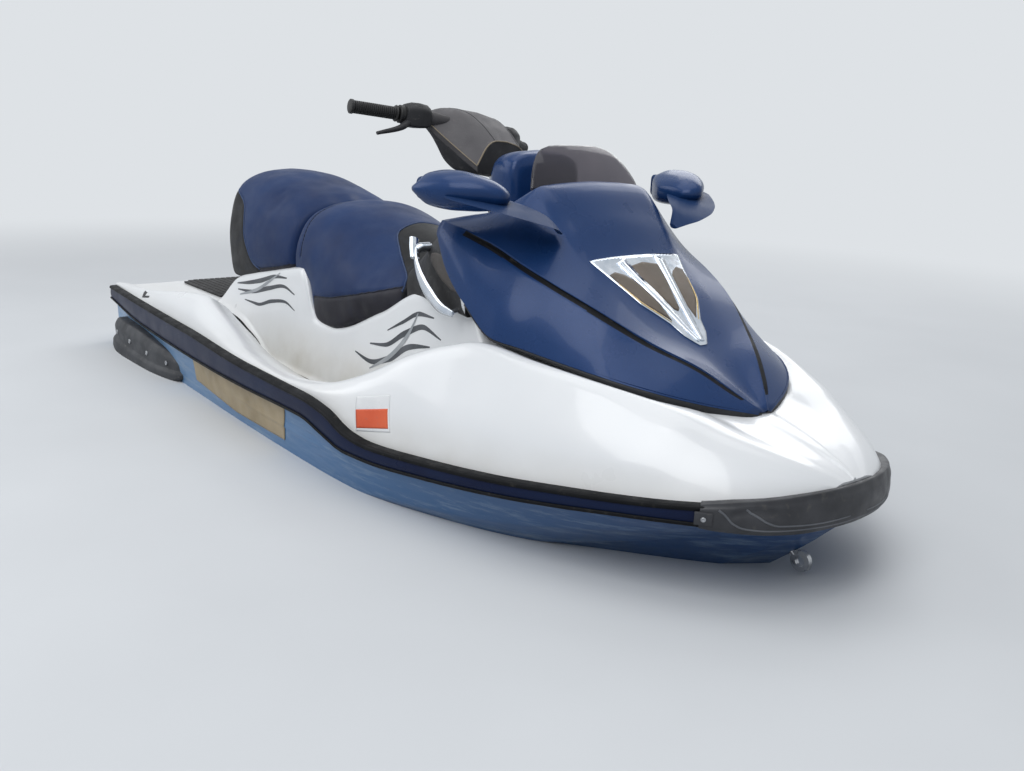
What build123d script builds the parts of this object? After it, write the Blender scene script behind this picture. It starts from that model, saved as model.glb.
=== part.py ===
from build123d import *
import math
import os

# Personal watercraft, sit-down three-seater with a jet pump.
# Millimetres, +X to the bow, +Y to port, +Z up, hull level in its own frame.
# The tables below count X from the transom and Z from the keel line.
# The kept frame has its origin on the waterline, below the seat.
KEEL_TO_WATER = 232.0
TRANSOM_TO_ORIGIN = 1400.0

RAIL_WALL = 22.0
BOND_GAP = 0.3
RAIL_END_X = 2868.0

# Jet pump, about its own axis.
PUMP_AXIS_Z = 155.0
PUMP_BORE_R = 78.0
PUMP_WALL = 14.0
PUMP_HUB_R = 40.0
BLADE_GAP = 6.0
BLADE_TIP_R = PUMP_BORE_R - BLADE_GAP
BLADES = 3
VANES = 7
SHAFT_R = 14.0
STUB_R = 10.0
HOUSING_R = PUMP_BORE_R + PUMP_WALL
BAY_SIDE = HOUSING_R + 32.0
BAY_TOP = PUMP_AXIS_Z + HOUSING_R + 53.0
RIDE_PLATE_Z = 40.0
RIDE_PLATE_WALL = 12.0
NOZZLE_PIVOT_X = 40.0
NOZZLE_R = HOUSING_R - 42.0
PIN_R = 6.0
FIT = 0.06
BUCKET_PIVOT_X = 26.0
BUCKET_R = 122.0
BUCKET_SIDE = HOUSING_R + 16.0
BUCKET_WALL = 5.0

# Steering. At rest the bars lie turned to port, and the nozzle follows them.
STEER_TILT = 30.0
STEER_REST = 16.0
NOZZLE_SHARE = -0.8
COLUMN_R = 18.0
STEER_X = 1745.0
STEER_Z = 1050.0
NECK_R = 48.0
BAR_R = 11.0
BAR_KNEE = (1668, -140, 1130)
BAR_END = (1562, -385, 1122)
GRIP_START = 0.50
GRIP_CAP = 0.96

# Hood, its mirrors and its emblem.
HOOD_WALL = 7.0
HOOD_LIP = 30.0
HOOD_HOLLOW_END = 2700.0
EMBLEM_PROUD = 3.0
GLASS_X = 2052.0
GLASS_IN = 354.0
GLASS_OUT = 438.0
GLASS_LOW = 977.0
GLASS_HIGH = 1020.0

# Hull stations. Columns: x, keel z, strake y and z, chine y and z,
# lip y and z, flange y, rail bottom z, rail top z.
HULL = [
    (0, 0, 240, 76, 462, 150, 505, 186, 518, 400, 455),
    (400, 0, 240, 76, 470, 150, 520, 188, 543, 372, 455),
    (900, 0, 242, 76, 476, 150, 536, 190, 568, 367, 455),
    (1400, 0, 242, 77, 482, 152, 548, 194, 588, 375, 446),
    (1750, 0, 240, 78, 482, 158, 552, 208, 590, 383, 446),
    (1870, 0, 236, 78, 478, 163, 550, 218, 586, 360, 432),
    (1960, 0, 230, 79, 472, 170, 546, 230, 580, 342, 401),
    (2050, 0, 222, 80, 462, 178, 534, 240, 568, 341, 390),
    (2250, 0, 202, 82, 425, 200, 490, 262, 533, 353, 400),
    (2450, 10, 172, 100, 365, 235, 432, 290, 490, 371, 416),
    (2600, 72, 134, 145, 292, 272, 372, 320, 434, 384, 428),
    (2750, 172, 96, 222, 218, 318, 292, 350, 366, 398, 440),
    (2850, 255, 68, 290, 160, 346, 218, 368, 300, 402, 448),
    (2930, 328, 40, 345, 96, 370, 132, 382, 225, 402, 458),
    (2985, 384, 18, 389, 50, 392, 72, 394, 135, 404, 468),
    (3002, 398, 10, 400, 30, 402, 44, 403, 84, 406, 472),
]

# Deck stations. Columns: x, flank y and z, crest y and z, edge y and z,
# floor outer y, floor inner y, floor z, side y and z, top y, top z.
DECK = [
    (0, 514, 462, 500, 466, 462, 458, 446, 300, 452, 285, 453, 220, 454),
    (240, 522, 468, 508, 482, 456, 468, 440, 300, 452, 285, 453, 220, 454),
    (470, 530, 482, 504, 514, 448, 480, 434, 300, 452, 288, 453, 250, 454),
    (545, 534, 492, 502, 526, 444, 486, 432, 300, 450, 258, 535, 236, 548),
    (700, 540, 506, 498, 550, 430, 500, 420, 302, 436, 255, 580, 235, 594),
    (850, 546, 510, 494, 564, 416, 505, 408, 304, 390, 255, 612, 235, 624),
    (960, 552, 500, 498, 540, 418, 478, 408, 304, 342, 256, 634, 236, 645),
    (1090, 560, 486, 504, 508, 424, 445, 412, 304, 334, 257, 655, 238, 664),
    (1105, 561, 484, 504, 504, 425, 442, 412, 304, 333, 257, 640, 238, 648),
    (1180, 566, 474, 508, 486, 430, 428, 416, 304, 331, 258, 508, 240, 514),
    (1280, 572, 462, 514, 466, 436, 414, 420, 304, 330, 258, 500, 240, 506),
    (1570, 580, 454, 532, 454, 450, 406, 430, 304, 330, 258, 596, 240, 602),
    (1780, 580, 468, 530, 482, 452, 436, 430, 306, 332, 262, 690, 240, 694),
    (1900, 570, 482, 522, 526, 446, 494, 424, 312, 336, 282, 702, 250, 706),
    (2010, 556, 492, 508, 580, 436, 560, 412, 322, 352, 300, 706, 260, 708),
    (2090, 542, 498, 492, 618, 428, 604, 404, 330, 420, 310, 704, 270, 706),
    (2190, 522, 505, 455, 652, 410, 646, 392, 345, 636, 330, 640, 285, 642),
    (2260, 508, 512, 425, 668, 388, 664, 360, 340, 650, 320, 650, 280, 650),
    (2390, 478, 520, 382, 655, 342, 642, 325, 300, 632, 280, 632, 240, 632),
    (2540, 425, 522, 332, 638, 298, 622, 280, 255, 614, 230, 614, 200, 614),
    (2655, 374, 522, 280, 618, 238, 602, 215, 195, 594, 170, 594, 140, 594),
    (2735, 334, 520, 246, 600, 160, 582, 135, 110, 570, 85, 568, 60, 566),
    (2800, 290, 514, 212, 574, 150, 564, 125, 100, 558, 75, 556, 50, 554),
    (2880, 234, 504, 160, 545, 118, 540, 95, 75, 537, 55, 536, 35, 535),
    (2950, 160, 496, 104, 518, 80, 516, 62, 48, 514, 34, 513, 20, 512),
    (2985, 108, 488, 66, 500, 48, 499, 38, 30, 498, 20, 498, 12, 498),
    (3002, 70, 482, 42, 488, 32, 488, 26, 20, 487, 14, 487, 8, 487),
]

# Hood stations. Columns: x, edge y and z, side y and z, crease y and z,
# shoulder y and z, centre z.
HOOD = [
    (2020, 368, 884, 364, 902, 352, 918, 250, 930, 936),
    (2080, 380, 806, 372, 868, 338, 906, 230, 944, 950),
    (2150, 385, 748, 372, 822, 314, 882, 186, 1000, 1012),
    (2165, 385, 738, 370, 812, 309, 877, 182, 1008, 1020),
    (2260, 381, 676, 363, 752, 287, 838, 165, 925, 946),
    (2340, 352, 662, 330, 725, 268, 808, 150, 848, 860),
    (2450, 316, 645, 290, 695, 228, 762, 125, 770, 774),
    (2566, 280, 630, 242, 660, 162, 700, 90, 692, 686),
    (2655, 222, 612, 172, 634, 98, 656, 55, 642, 632),
    (2720, 137, 590, 96, 600, 48, 608, 26, 600, 594),
    (2765, 24, 566, 18, 569, 12, 572, 6, 572, 571),
]

# Seat stations. Columns: x, skirt y and z, bulge y and z, shoulder y and z,
# crown y and z, centre z.
REAR_SEAT = [
    (428, 196, 636, 206, 730, 176, 820, 100, 862, 872),
    (446, 222, 600, 236, 720, 204, 862, 112, 908, 918),
    (500, 240, 556, 250, 700, 216, 888, 120, 940, 950),
    (640, 250, 566, 256, 710, 220, 884, 122, 936, 948),
    (800, 252, 602, 254, 720, 218, 862, 120, 908, 920),
    (935, 250, 630, 250, 725, 212, 838, 116, 880, 892),
    (985, 248, 640, 246, 725, 204, 818, 110, 858, 868),
]
FRONT_SEAT = [
    (1000, 246, 644, 246, 726, 202, 812, 108, 850, 858),
    (1040, 252, 650, 254, 728, 214, 832, 112, 872, 880),
    (1112, 258, 630, 262, 712, 216, 836, 112, 876, 884),
    (1186, 264, 509, 272, 640, 214, 828, 110, 868, 876),
    (1285, 266, 503, 278, 630, 206, 812, 106, 848, 856),
    (1430, 264, 549, 276, 640, 194, 786, 100, 818, 826),
    (1570, 262, 598, 268, 670, 182, 768, 96, 794, 802),
    (1690, 258, 652, 256, 700, 168, 760, 90, 780, 786),
]


def save(name, shape):
    """Writes one node, moved from the station frame to the kept frame."""
    shift = Pos(-TRANSOM_TO_ORIGIN, 0, -KEEL_TO_WATER)
    solids = [shift * solid for solid in shape.solids()]
    export_step(Compound(solids), "parts/" + name + ".step")


def loft_rings(rings):
    """Ruled solid through a list of like wires."""
    return Solid.make_loft(rings, True)


def box(x0, x1, y0, y1, z0, z1):
    """Box between corner planes."""
    size = (x1 - x0, y1 - y0, z1 - z0)
    middle = ((x0 + x1) / 2, (y0 + y1) / 2, (z0 + z1) / 2)
    return Pos(*middle) * Box(*size)


def rod(x0, x1, radius, y=0.0, z=PUMP_AXIS_Z):
    """Cylinder along X."""
    return Pos((x0 + x1) / 2, y, z) * Rot(0, 90, 0) * Cylinder(radius, x1 - x0)


def pin_y(x, z, y0, y1, radius):
    """Cylinder along Y."""
    return Pos(x, (y0 + y1) / 2, z) * Rot(90, 0, 0) * Cylinder(radius, y1 - y0)


def bar_between(a, b, radius):
    """Cylinder between two points."""
    a = Vector(*a)
    b = Vector(*b)
    plane = Plane(origin=a, z_dir=(b - a).normalized())
    return plane * Pos(0, 0, (b - a).length / 2) * Cylinder(radius, (b - a).length)


def cone_x(x0, x1, r0, r1, z=PUMP_AXIS_Z):
    """Cone along X, radius r0 at x0 and r1 at x1."""
    return Pos((x0 + x1) / 2, 0, z) * Rot(0, 90, 0) * Cone(r0, r1, x1 - x0)


def both_sides(shape):
    """A piece and its twin across the centre plane."""
    return Compound(children=[shape, mirror(shape, about=Plane.XZ)])


def rise(table, k, column):
    """Slope of a column from row k to the next."""
    run = table[k + 1][0] - table[k][0]
    return (table[k + 1][column] - table[k][column]) / run


def tangent(table, k, column):
    """Slope of a column at row k, level where the column turns back."""
    if k == 0:
        return rise(table, 0, column)
    if k == len(table) - 1:
        return rise(table, k - 1, column)
    before = rise(table, k - 1, column)
    after = rise(table, k, column)
    if before * after <= 0:
        return 0.0
    near = table[k][0] - table[k - 1][0]
    far = table[k + 1][0] - table[k][0]
    heavy = 2 * far + near
    light = far + 2 * near
    return (heavy + light) / (heavy / before + light / after)


def between(table, x):
    """Row of a table at x, on a smooth curve that doesn't overshoot."""
    if x <= table[0][0]:
        return (x,) + tuple(table[0][1:])
    if x >= table[-1][0]:
        return (x,) + tuple(table[-1][1:])
    k = max(i for i, row in enumerate(table) if row[0] <= x)
    low = table[k]
    high = table[k + 1]
    run = high[0] - low[0]
    t = (x - low[0]) / run
    values = [x]
    for c in range(1, len(low)):
        start = tangent(table, k, c) * run
        end = tangent(table, k + 1, c) * run
        value = (2 * t ** 3 - 3 * t ** 2 + 1) * low[c] + (t ** 3 - 2 * t ** 2 + t) * start
        value += (3 * t ** 2 - 2 * t ** 3) * high[c] + (t ** 3 - t ** 2) * end
        values.append(value)
    return tuple(values)


def denser(table, pitch):
    """A table's rows, with even steps between those that lie far apart."""
    rows = [tuple(table[0])]
    for low, high in zip(table, table[1:]):
        count = max(1, round((high[0] - low[0]) / pitch))
        for k in range(1, count):
            rows.append(between(table, low[0] + (high[0] - low[0]) * k / count))
        rows.append(tuple(high))
    return rows


def eased(corners, reach, steps=2):
    """Half outline whose inner corners are rounded over their reach."""
    points = [corners[0]]
    for before, corner, after in zip(corners, corners[1:], corners[2:]):
        middle = Vector(*corner)
        back = Vector(*before) - middle
        ahead = Vector(*after) - middle
        start = middle + back * min(0.48, reach / max(back.length, 1.0))
        end = middle + ahead * min(0.48, reach / max(ahead.length, 1.0))
        for k in range(steps + 1):
            t = k / steps
            spot = start * (1 - t) ** 2 + middle * (2 * t * (1 - t)) + end * t ** 2
            points.append((spot.X, spot.Y))
    points.append(corners[-1])
    return points


def ring_at(x, half):
    """Closed wire at x from a half outline that ends on the centre plane."""
    left = [(x, y, z) for y, z in half]
    right = [(x, -y, z) for y, z in reversed(half[:-1])]
    return Wire.make_polygon([Vector(*p) for p in left + right], close=True)


def ring_open(x, half):
    """Closed wire at x from a half outline and its twin, both clear of the centre."""
    left = [(x, y, z) for y, z in half]
    right = [(x, -y, z) for y, z in reversed(half)]
    return Wire.make_polygon([Vector(*p) for p in left + right], close=True)


def bond_z(row):
    """Height where hull and deck meet, inside the rail."""
    return (row[9] + row[10]) / 2


def trough(row, gap=0.0):
    """Bond line of hull and deck at a deck station, flange to core, port side."""
    bond = bond_z(between(HULL, row[0])) + gap
    flange = between(HULL, row[0])[8]
    low = min(bond, row[9] - 14 + gap)
    outer = min(row[7] + 12, flange - 6) - gap
    inner = row[8] - min(12, row[8] * 0.2) + gap
    core = row[8] - min(24, row[8] * 0.4)
    if low > bond - 1:
        return [(outer, bond), ((outer + inner) / 2, bond), (inner, bond), (core, bond)]
    return [(outer, bond), (outer, low), (inner, low), (core, bond)]


def hull_ring(deck_row):
    """Hull section as a wire, up to the deck's underside."""
    row = between(HULL, deck_row[0])
    x, keel, sy, sz, cy, cz, ly, lz, fy, low, high = row
    half = [(0, keel), (sy, sz), (cy, cz), (ly, lz), (fy, low), (fy, bond_z(row))]
    half = half + trough(deck_row)
    left = [(x, y, z) for y, z in half]
    right = [(x, -y, z) for y, z in reversed(half[1:])]
    return Wire.make_polygon([Vector(*p) for p in left + right], close=True)


def hull_solid():
    """Hull bottom before its recesses."""
    return loft_rings([hull_ring(row) for row in deck_rows()])


def deck_half(row):
    """Half section of the deck, bond line to centre."""
    x, ky, kz, cy, cz, ey, ez, fo, fi, fz, sy, sz, ty, tz = row
    hull = between(HULL, x)
    flange = hull[8]
    points = [(flange, bond_z(hull) + BOND_GAP), (flange, hull[10]), (ky, kz), (cy, cz)]
    points += [(ey, ez), (fo, fz), (fi, fz), (sy, sz), (ty, tz)]
    return points


def deck_ring(row):
    """Deck section as a wire, with a trough below each footwell."""
    half = deck_half(row)
    x = row[0]
    left = [(x, y, z) for y, z in half]
    right = [(x, -y, z) for y, z in reversed(half)]
    under = trough(row, BOND_GAP)
    below = [(x, -y, z) for y, z in under] + [(x, y, z) for y, z in reversed(under)]
    return Wire.make_polygon([Vector(*p) for p in left + right + below], close=True)


def deck_rows():
    """Deck stations with those of the hull and the rail's end, so that all meet."""
    rows = denser(DECK, 95)
    for x in [row[0] for row in HULL] + [RAIL_END_X]:
        if min(abs(x - row[0]) for row in rows) > 0.5:
            rows.append(between(DECK, x))
    return sorted(rows)


def deck_solid():
    """Deck before its recesses."""
    return loft_rings([deck_ring(row) for row in deck_rows()])


def engine_bay():
    """Space of the engine."""
    return box(930, 1570, -222, 222, 120, 470)


def bin_pocket():
    """Space of the front bin."""
    return box(2238, 2542, -184, 184, 238, 700)


def pump_recess():
    """Space of the pump, open below and at the transom."""
    bay = box(-20, 420, -BAY_SIDE, BAY_SIDE, -10, BAY_TOP)
    duct = Plane.XY * box(420, 860, -96, 96, -10, 60)
    wedge = Wire.make_polygon(
        [Vector(400, -90, 235), Vector(400, -90, 0), Vector(860, -90, 0)], close=True)
    ramp = extrude(Face(wedge), amount=180, dir=(0, 1, 0))
    return bay + duct + ramp + rod(400, 940, 26)


def hull_bottom():
    """Blue hull with pump recess, engine bay and bin pocket."""
    return hull_solid() - pump_recess() - engine_bay() - bin_pocket()


def deck():
    """White deck with engine bay and bin pocket."""
    return deck_solid() - engine_bay() - bin_pocket()


def engine():
    """Engine as one plain block."""
    return box(960, 1540, -190, 190, 120, 430)


def rail_ring(x):
    """Rail section at x, port side, rounded outside."""
    row = between(HULL, x)
    y = row[8]
    low = row[9]
    high = row[10]
    out = y + RAIL_WALL
    ease = (high - low) * 0.22
    points = [(y, low), (out - 6, low), (out, low + ease), (out, high - ease)]
    points += [(out - 7, high), (y, high)]
    return Wire.make_polygon([Vector(x, a, b) for a, b in points], close=True)


def rails():
    """Side rails, stern to the bow bumper."""
    xs = [row[0] for row in deck_rows() if row[0] <= RAIL_END_X]
    return both_sides(loft_rings([rail_ring(x) for x in xs]))


def bumper():
    """Rubber bumper round the bow."""
    outer = []
    # Columns: x, half-width outside, low z, high z.
    table = [
        (RAIL_END_X, 310, 398, 452),
        (2915, 270, 396, 462),
        (2960, 214, 394, 468),
        (2990, 158, 394, 474),
        (3010, 98, 396, 478),
        (3022, 34, 398, 480),
    ]
    for x, wide, low, high in denser(table, 28):
        tall = high - low
        points = [(wide - 12, low), (wide, low + tall * 0.20), (wide - 2, low + tall * 0.44)]
        points += [(wide, low + tall * 0.66), (wide - 4, high - tall * 0.12), (wide - 14, high)]
        outer.append(ring_open(x, points))
    body = loft_rings(outer)
    return body - hull_solid() - deck_solid()


def rear_mat():
    """Mat on the stern platform."""
    pad = Pos(235, 0, 457.5) * Box(420, 520, 7)
    return fillet(pad.edges().filter_by(Axis.Z), 40)


def foot_mats():
    """Mats on the footwell floors."""
    wires = []
    for row in deck_rows():
        x, z = row[0], row[9]
        if x < 1100 or x > 1950:
            continue
        points = [(320, z), (400, z), (400, z + 6), (320, z + 6)]
        wires.append(Wire.make_polygon([Vector(x, a, b) for a, b in points], close=True))
    return both_sides(loft_rings(wires))


def seat_ring(row):
    """Seat section as a wire."""
    x, ky, kz, by, bz, sy, sz, cy, cz, top = row
    return ring_at(x, eased([(ky, kz), (by, bz), (sy, sz), (cy, cz), (0, top)], 60))


def seat_form(table):
    """Seat cushion before it is fitted to the pedestal."""
    return loft_rings([seat_ring(row) for row in denser(table, 50)])


def seat(table):
    """Seat cushion on the pedestal."""
    return seat_form(table) - deck_solid()


def hood_ring(row, inset):
    """Hood section as a wire, moved in by the inset, with a groove below the crease."""
    x, ey, ez, sy, sz, cy, cz, hy, hz, top = row
    groove = 0.0 if inset > 0 else 5.0 * min(1.0, (HOOD[-1][0] - x) / 90)
    low = ez - (HOOD_LIP if inset > 0 else 0.0)
    pit = (cy + (sy - cy) * 0.16 - groove - inset, cz + (sz - cz) * 0.16 - groove * 0.4 - inset)
    crown = eased([(cy - inset, cz - inset), (hy - inset * 0.4, hz - inset), (0, top - inset)], 34)
    return ring_at(x, [(ey - inset, low), (sy - inset, sz - inset * 0.4), pit] + crown)


def hood_rows():
    """Hood stations, close enough for a smooth form."""
    return denser(HOOD, 42)


def hood_form():
    """Outside of the hood as one solid."""
    return loft_rings([hood_ring(row, 0) for row in hood_rows()])


def hood_shell():
    """Hood with its side fairings, open below and behind."""
    first = (HOOD[0][0] - 20,) + tuple(HOOD[0][1:])
    rows = [first] + [row for row in hood_rows()[1:] if row[0] < HOOD_HOLLOW_END]
    rows.append(between(HOOD, HOOD_HOLLOW_END))
    return hood_form() - loft_rings([hood_ring(row, HOOD_WALL) for row in rows])


def hood_seal():
    """Dark gasket on the deck, under the hood's edge."""
    wires = []
    for row in hood_rows():
        x, y, z = row[0:3]
        if x > 2250:
            points = [(max(y - 16, 2), z), (y + 3, z), (y + 3, z - 40), (max(y - 16, 2), z - 40)]
            wires.append(Wire.make_polygon([Vector(x, a, b) for a, b in points], close=True))
    return both_sides(loft_rings(wires) - deck_solid())


def windshield():
    """Smoked shield on the hood."""
    # Columns: z, x at the centre, x at the side, half-width.
    table = [
        (1012, 2168, 2146, 180),
        (1046, 2146, 2126, 162),
        (1080, 2118, 2102, 130),
        (1102, 2096, 2086, 94),
    ]
    wires = []
    for z, middle, side, half in table:
        near = middle * 0.75 + side * 0.25
        front = [(side, half), (near, half * 0.55), (middle, 0)]
        front += [(near, -half * 0.55), (side, -half)]
        back = [(x - 8, y * 0.97) for x, y in reversed(front)]
        points = [Vector(x, y, z) for x, y in front + back]
        wires.append(Wire.make_polygon(points, close=True))
    return loft_rings(wires) - hood_form()


def mirror_bullet():
    """Long rounded housing of the starboard mirror."""
    # Columns: y, x, z, half-length, half-height.
    table = [
        (-466, 2066, 1000, 8, 6),
        (-456, 2072, 1000, 36, 22),
        (-425, 2092, 1002, 76, 40),
        (-385, 2118, 1001, 88, 44),
        (-345, 2142, 996, 86, 40),
        (-310, 2160, 990, 70, 29),
        (-292, 2166, 988, 44, 15),
    ]
    wires = []
    for y, x, z, a, b in denser(table, 22):
        points = []
        for k in range(14):
            turn = 2 * math.pi * (k + 0.5) / 14
            points.append(Vector(x + a * math.cos(turn), y, z + b * math.sin(turn)))
        wires.append(Wire.make_polygon(points, close=True))
    return loft_rings(wires)


def mirror_wing():
    """Flat sharp wing from the starboard mirror to the hood."""
    # Columns: y, rear x and z, front x and z, thickness.
    table = [
        (-440, 2146, 988, 2180, 981, 2),
        (-400, 2140, 991, 2232, 968, 7),
        (-353, 2144, 990, 2278, 955, 9),
        (-300, 2152, 986, 2308, 940, 10),
        (-250, 2200, 970, 2316, 927, 9),
        (-220, 2244, 950, 2306, 918, 8),
        (-196, 2262, 916, 2292, 908, 8),
        (-168, 2250, 890, 2282, 888, 8),
    ]
    wires = []
    for y, rear, rear_z, front, front_z, thick in table:
        middle = (rear + front) / 2
        height = (rear_z + front_z) / 2
        points = [(rear, rear_z), (middle, height - thick), (front, front_z), (middle, height + thick)]
        wires.append(Wire.make_polygon([Vector(p, y, q) for p, q in points], close=True))
    return loft_rings(wires)


def mirror_housing():
    """Mirror housing with its wing to the hood, starboard."""
    pocket = box(1960, GLASS_X, -GLASS_OUT - 2, -GLASS_IN + 2, GLASS_LOW - 2, GLASS_HIGH + 2)
    return mirror_bullet() + mirror_wing() - hood_form() - pocket


def mirror_housings():
    """Both mirror housings."""
    return both_sides(mirror_housing())


def mirror_glasses():
    """Both mirror glasses, flush in the rear of the housings."""
    glass = box(GLASS_X - 6, GLASS_X, -GLASS_OUT, -GLASS_IN, GLASS_LOW, GLASS_HIGH)
    return both_sides(glass)


def emblem():
    """Bright V on the hood, two bands that meet below."""
    rows = [row for row in hood_rows() if 2240 < row[0] < 2700]
    outer = loft_rings([hood_ring(row, -EMBLEM_PROUD) for row in rows])
    plate = Wire.make_polygon(
        [Vector(2352, -160, 0), Vector(2352, -78, 0), Vector(2500, 0, 0),
         Vector(2352, 78, 0), Vector(2352, 160, 0), Vector(2575, 0, 0)], close=True)
    prism = Pos(0, 0, 664) * extrude(Face(plate), amount=400, dir=(0, 0, 1))
    return (outer & prism) - hood_form()


def console():
    """Dark console between the seat and the hood."""
    # Columns: x, half-width below, half-width above, z above.
    table = [
        (1706, 246, 150, 800),
        (1790, 262, 200, 845),
        (1880, 298, 250, 882),
        (1990, 324, 296, 902),
        (2110, 338, 284, 896),
    ]
    wires = []
    for x, low, wide, z in denser(table, 45):
        base = between(DECK, x)[13] - 12
        half = eased([(low, base), (low, z - 60), (wide, z - 8), (wide * 0.5, z)], 30)
        wires.append(ring_open(x, half))
    return loft_rings(wires) - deck_solid()


def column_axis():
    """Plane whose Z axis is the steering axis."""
    tilt = math.radians(STEER_TILT)
    direction = (-math.sin(tilt), 0, math.cos(tilt))
    return Plane(origin=(STEER_X, 0, STEER_Z), x_dir=(0, -1, 0), z_dir=direction)


def steering_support():
    """Fixed neck that carries the steering column."""
    neck = column_axis() * Pos(0, 0, -168) * Cylinder(NECK_R, 174)
    bore = column_axis() * Pos(0, 0, -100) * Cylinder(COLUMN_R + 0.3, 210)
    return neck - bore - console() - gauge_pod()


def gauge_pod():
    """Instrument pod ahead of the steering."""
    # Columns: x, half-width, low z, high z.
    table = [
        (1872, 62, 870, 1014),
        (1886, 86, 870, 1050),
        (1915, 98, 870, 1064),
        (1955, 102, 870, 1068),
        (1985, 98, 870, 1062),
        (2003, 80, 870, 1034),
    ]
    wires = []
    for x, half, low, high in denser(table, 20):
        corners = [(half, low), (half, high - 20), (half * 0.6, high), (0, high + 4)]
        wires.append(ring_at(x, eased(corners, 34)))
    return loft_rings(wires) - console()


def steering_column():
    """Turning column in the neck."""
    return column_axis() * Pos(0, 0, -100) * Cylinder(COLUMN_R, 190)


def at_rest(shape):
    """A steering piece made straight ahead, turned to where it rests."""
    frame = column_axis()
    return shape.rotate(Axis(frame.origin, frame.z_dir), STEER_REST)


def cover_form():
    """Padded cover over the middle of the bars, straight ahead."""
    # Columns: x, ridge y and z, crown z, low z.
    table = [
        (1590, 104, 1122, 1142, 1106),
        (1610, 146, 1124, 1160, 1094),
        (1640, 167, 1122, 1174, 1064),
        (1665, 162, 1106, 1176, 1024),
        (1700, 142, 1080, 1160, 1002),
        (1750, 116, 1046, 1128, 1000),
        (1785, 92, 1022, 1094, 1004),
    ]
    wires = []
    for x, ridge, middle, crown, low in denser(table, 18):
        over = eased([(ridge, middle), (ridge * 0.62, crown - 8), (0, crown)], 40)
        wires.append(ring_open(x, [(ridge * 0.6, low), (ridge * 0.97, middle - 8)] + over[:-1]))
    return loft_rings(wires)


def steering_cover():
    """Padded cover, closed round the column's head."""
    return at_rest(cover_form()) - steering_column()


def bar_point(t):
    """Point on the starboard bar line, 0 at the knee and 1 at the end."""
    return tuple(a + (b - a) * t for a, b in zip(BAR_KNEE, BAR_END))


def along_bar(start, end, radius):
    """Cylinder on the starboard bar line between two shares of it."""
    return bar_between(bar_point(start), bar_point(end), radius)


def handlebar():
    """Bar tube from the cover to both grips."""
    return at_rest(both_sides(along_bar(0, GRIP_CAP, BAR_R) - cover_form()))


def grips():
    """Rubber grips with their flanges and end caps."""
    sleeve = along_bar(GRIP_START + 0.02, GRIP_CAP + 0.01, 17)
    flange = along_bar(GRIP_START, GRIP_START + 0.02, 22)
    cap = along_bar(GRIP_CAP + 0.01, 1, 19)
    solid = sleeve + flange + cap - along_bar(0.1, GRIP_CAP, BAR_R)
    return at_rest(both_sides(solid))


def housing_form():
    """Starboard control housing, a barrel with a block on top."""
    barrel = along_bar(0.17, GRIP_START - 0.01, 27)
    collar = along_bar(0.13, 0.17, 21)
    return barrel + collar - along_bar(0, 0.9, BAR_R)


def switch_housings():
    """Control housings between the cover and the grips."""
    return at_rest(both_sides(housing_form() - cover_form()))


def throttle_lever():
    """Finger lever ahead of the starboard grip."""
    root = tuple(Vector(*bar_point(0.40)) + Vector(16, 0, -16))
    elbow = tuple(Vector(*bar_point(0.52)) + Vector(36, 0, -30))
    tip = tuple(Vector(*bar_point(0.78)) + Vector(42, 0, -44))
    lever = bar_between(root, elbow, 7) + bar_between(elbow, tip, 7) + Pos(*elbow) * Sphere(7)
    return at_rest(lever - housing_form())


def impeller():
    """Hub, blades and shaft of the jet pump."""
    hub = cone_x(238, 330, PUMP_HUB_R, 26) + rod(222, 238, PUMP_HUB_R)
    body = hub + rod(330, 925, SHAFT_R) + rod(184, 222, STUB_R)
    for k in range(BLADES):
        body = body + blade_at(k * 360 / BLADES)
    return body & rod(180, 950, BLADE_TIP_R)


def blade_at(angle):
    """One twisted blade as a stack of lofted sections."""
    wires = []
    thick = 2.6
    for radius, pitch in ((30, 58), (50, 42), (BLADE_TIP_R + 2, 32)):
        half = 34 + (radius - 30) * 0.2
        run = half * math.sin(math.radians(pitch))
        across = half * math.cos(math.radians(pitch))
        points = [(-run, -across - thick), (run, across - thick), (run, across + thick)]
        points += [(-run, -across + thick)]
        wires.append(Wire.make_polygon([Vector(278 + p, q, radius) for p, q in points], close=True))
    blade = loft_rings(wires)
    return Pos(0, 0, PUMP_AXIS_Z) * Rot(angle, 0, 0) * blade


def pump_housing():
    """Pump housing with its flange and guide vanes."""
    floor = RIDE_PLATE_Z + RIDE_PLATE_WALL
    body = rod(112, 400, HOUSING_R) + box(388, 420, -BAY_SIDE, BAY_SIDE, floor, BAY_TOP)
    body = body - rod(100, 430, PUMP_BORE_R)
    hub = rod(130, 212, PUMP_HUB_R) + cone_x(112, 130, 22, PUMP_HUB_R)
    hub = hub - rod(180, 213, STUB_R + 0.3)
    low = PUMP_HUB_R - 1
    high = PUMP_BORE_R + 3
    vanes = hub
    for k in range(VANES):
        blade = Pos(0, 0, (low + high) / 2) * Box(76, 4, high - low)
        vanes = vanes + Pos(170, 0, PUMP_AXIS_Z) * Rot(k * 360 / VANES, 0, 0) * blade
    return body + vanes


def venturi():
    """Narrowing outlet cone of the pump."""
    inner = cone_x(69.5, 112.5, NOZZLE_R - 8, PUMP_BORE_R)
    return cone_x(70, 112, NOZZLE_R, HOUSING_R) - inner


def pivot_pins(radius):
    """Upright pins of the nozzle pivot, above and below."""
    reach = HOUSING_R - 13
    high = Pos(NOZZLE_PIVOT_X, 0, PUMP_AXIS_Z + reach) * Cylinder(radius, 28)
    low = Pos(NOZZLE_PIVOT_X, 0, PUMP_AXIS_Z - reach) * Cylinder(radius, 28)
    return high + low


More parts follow.
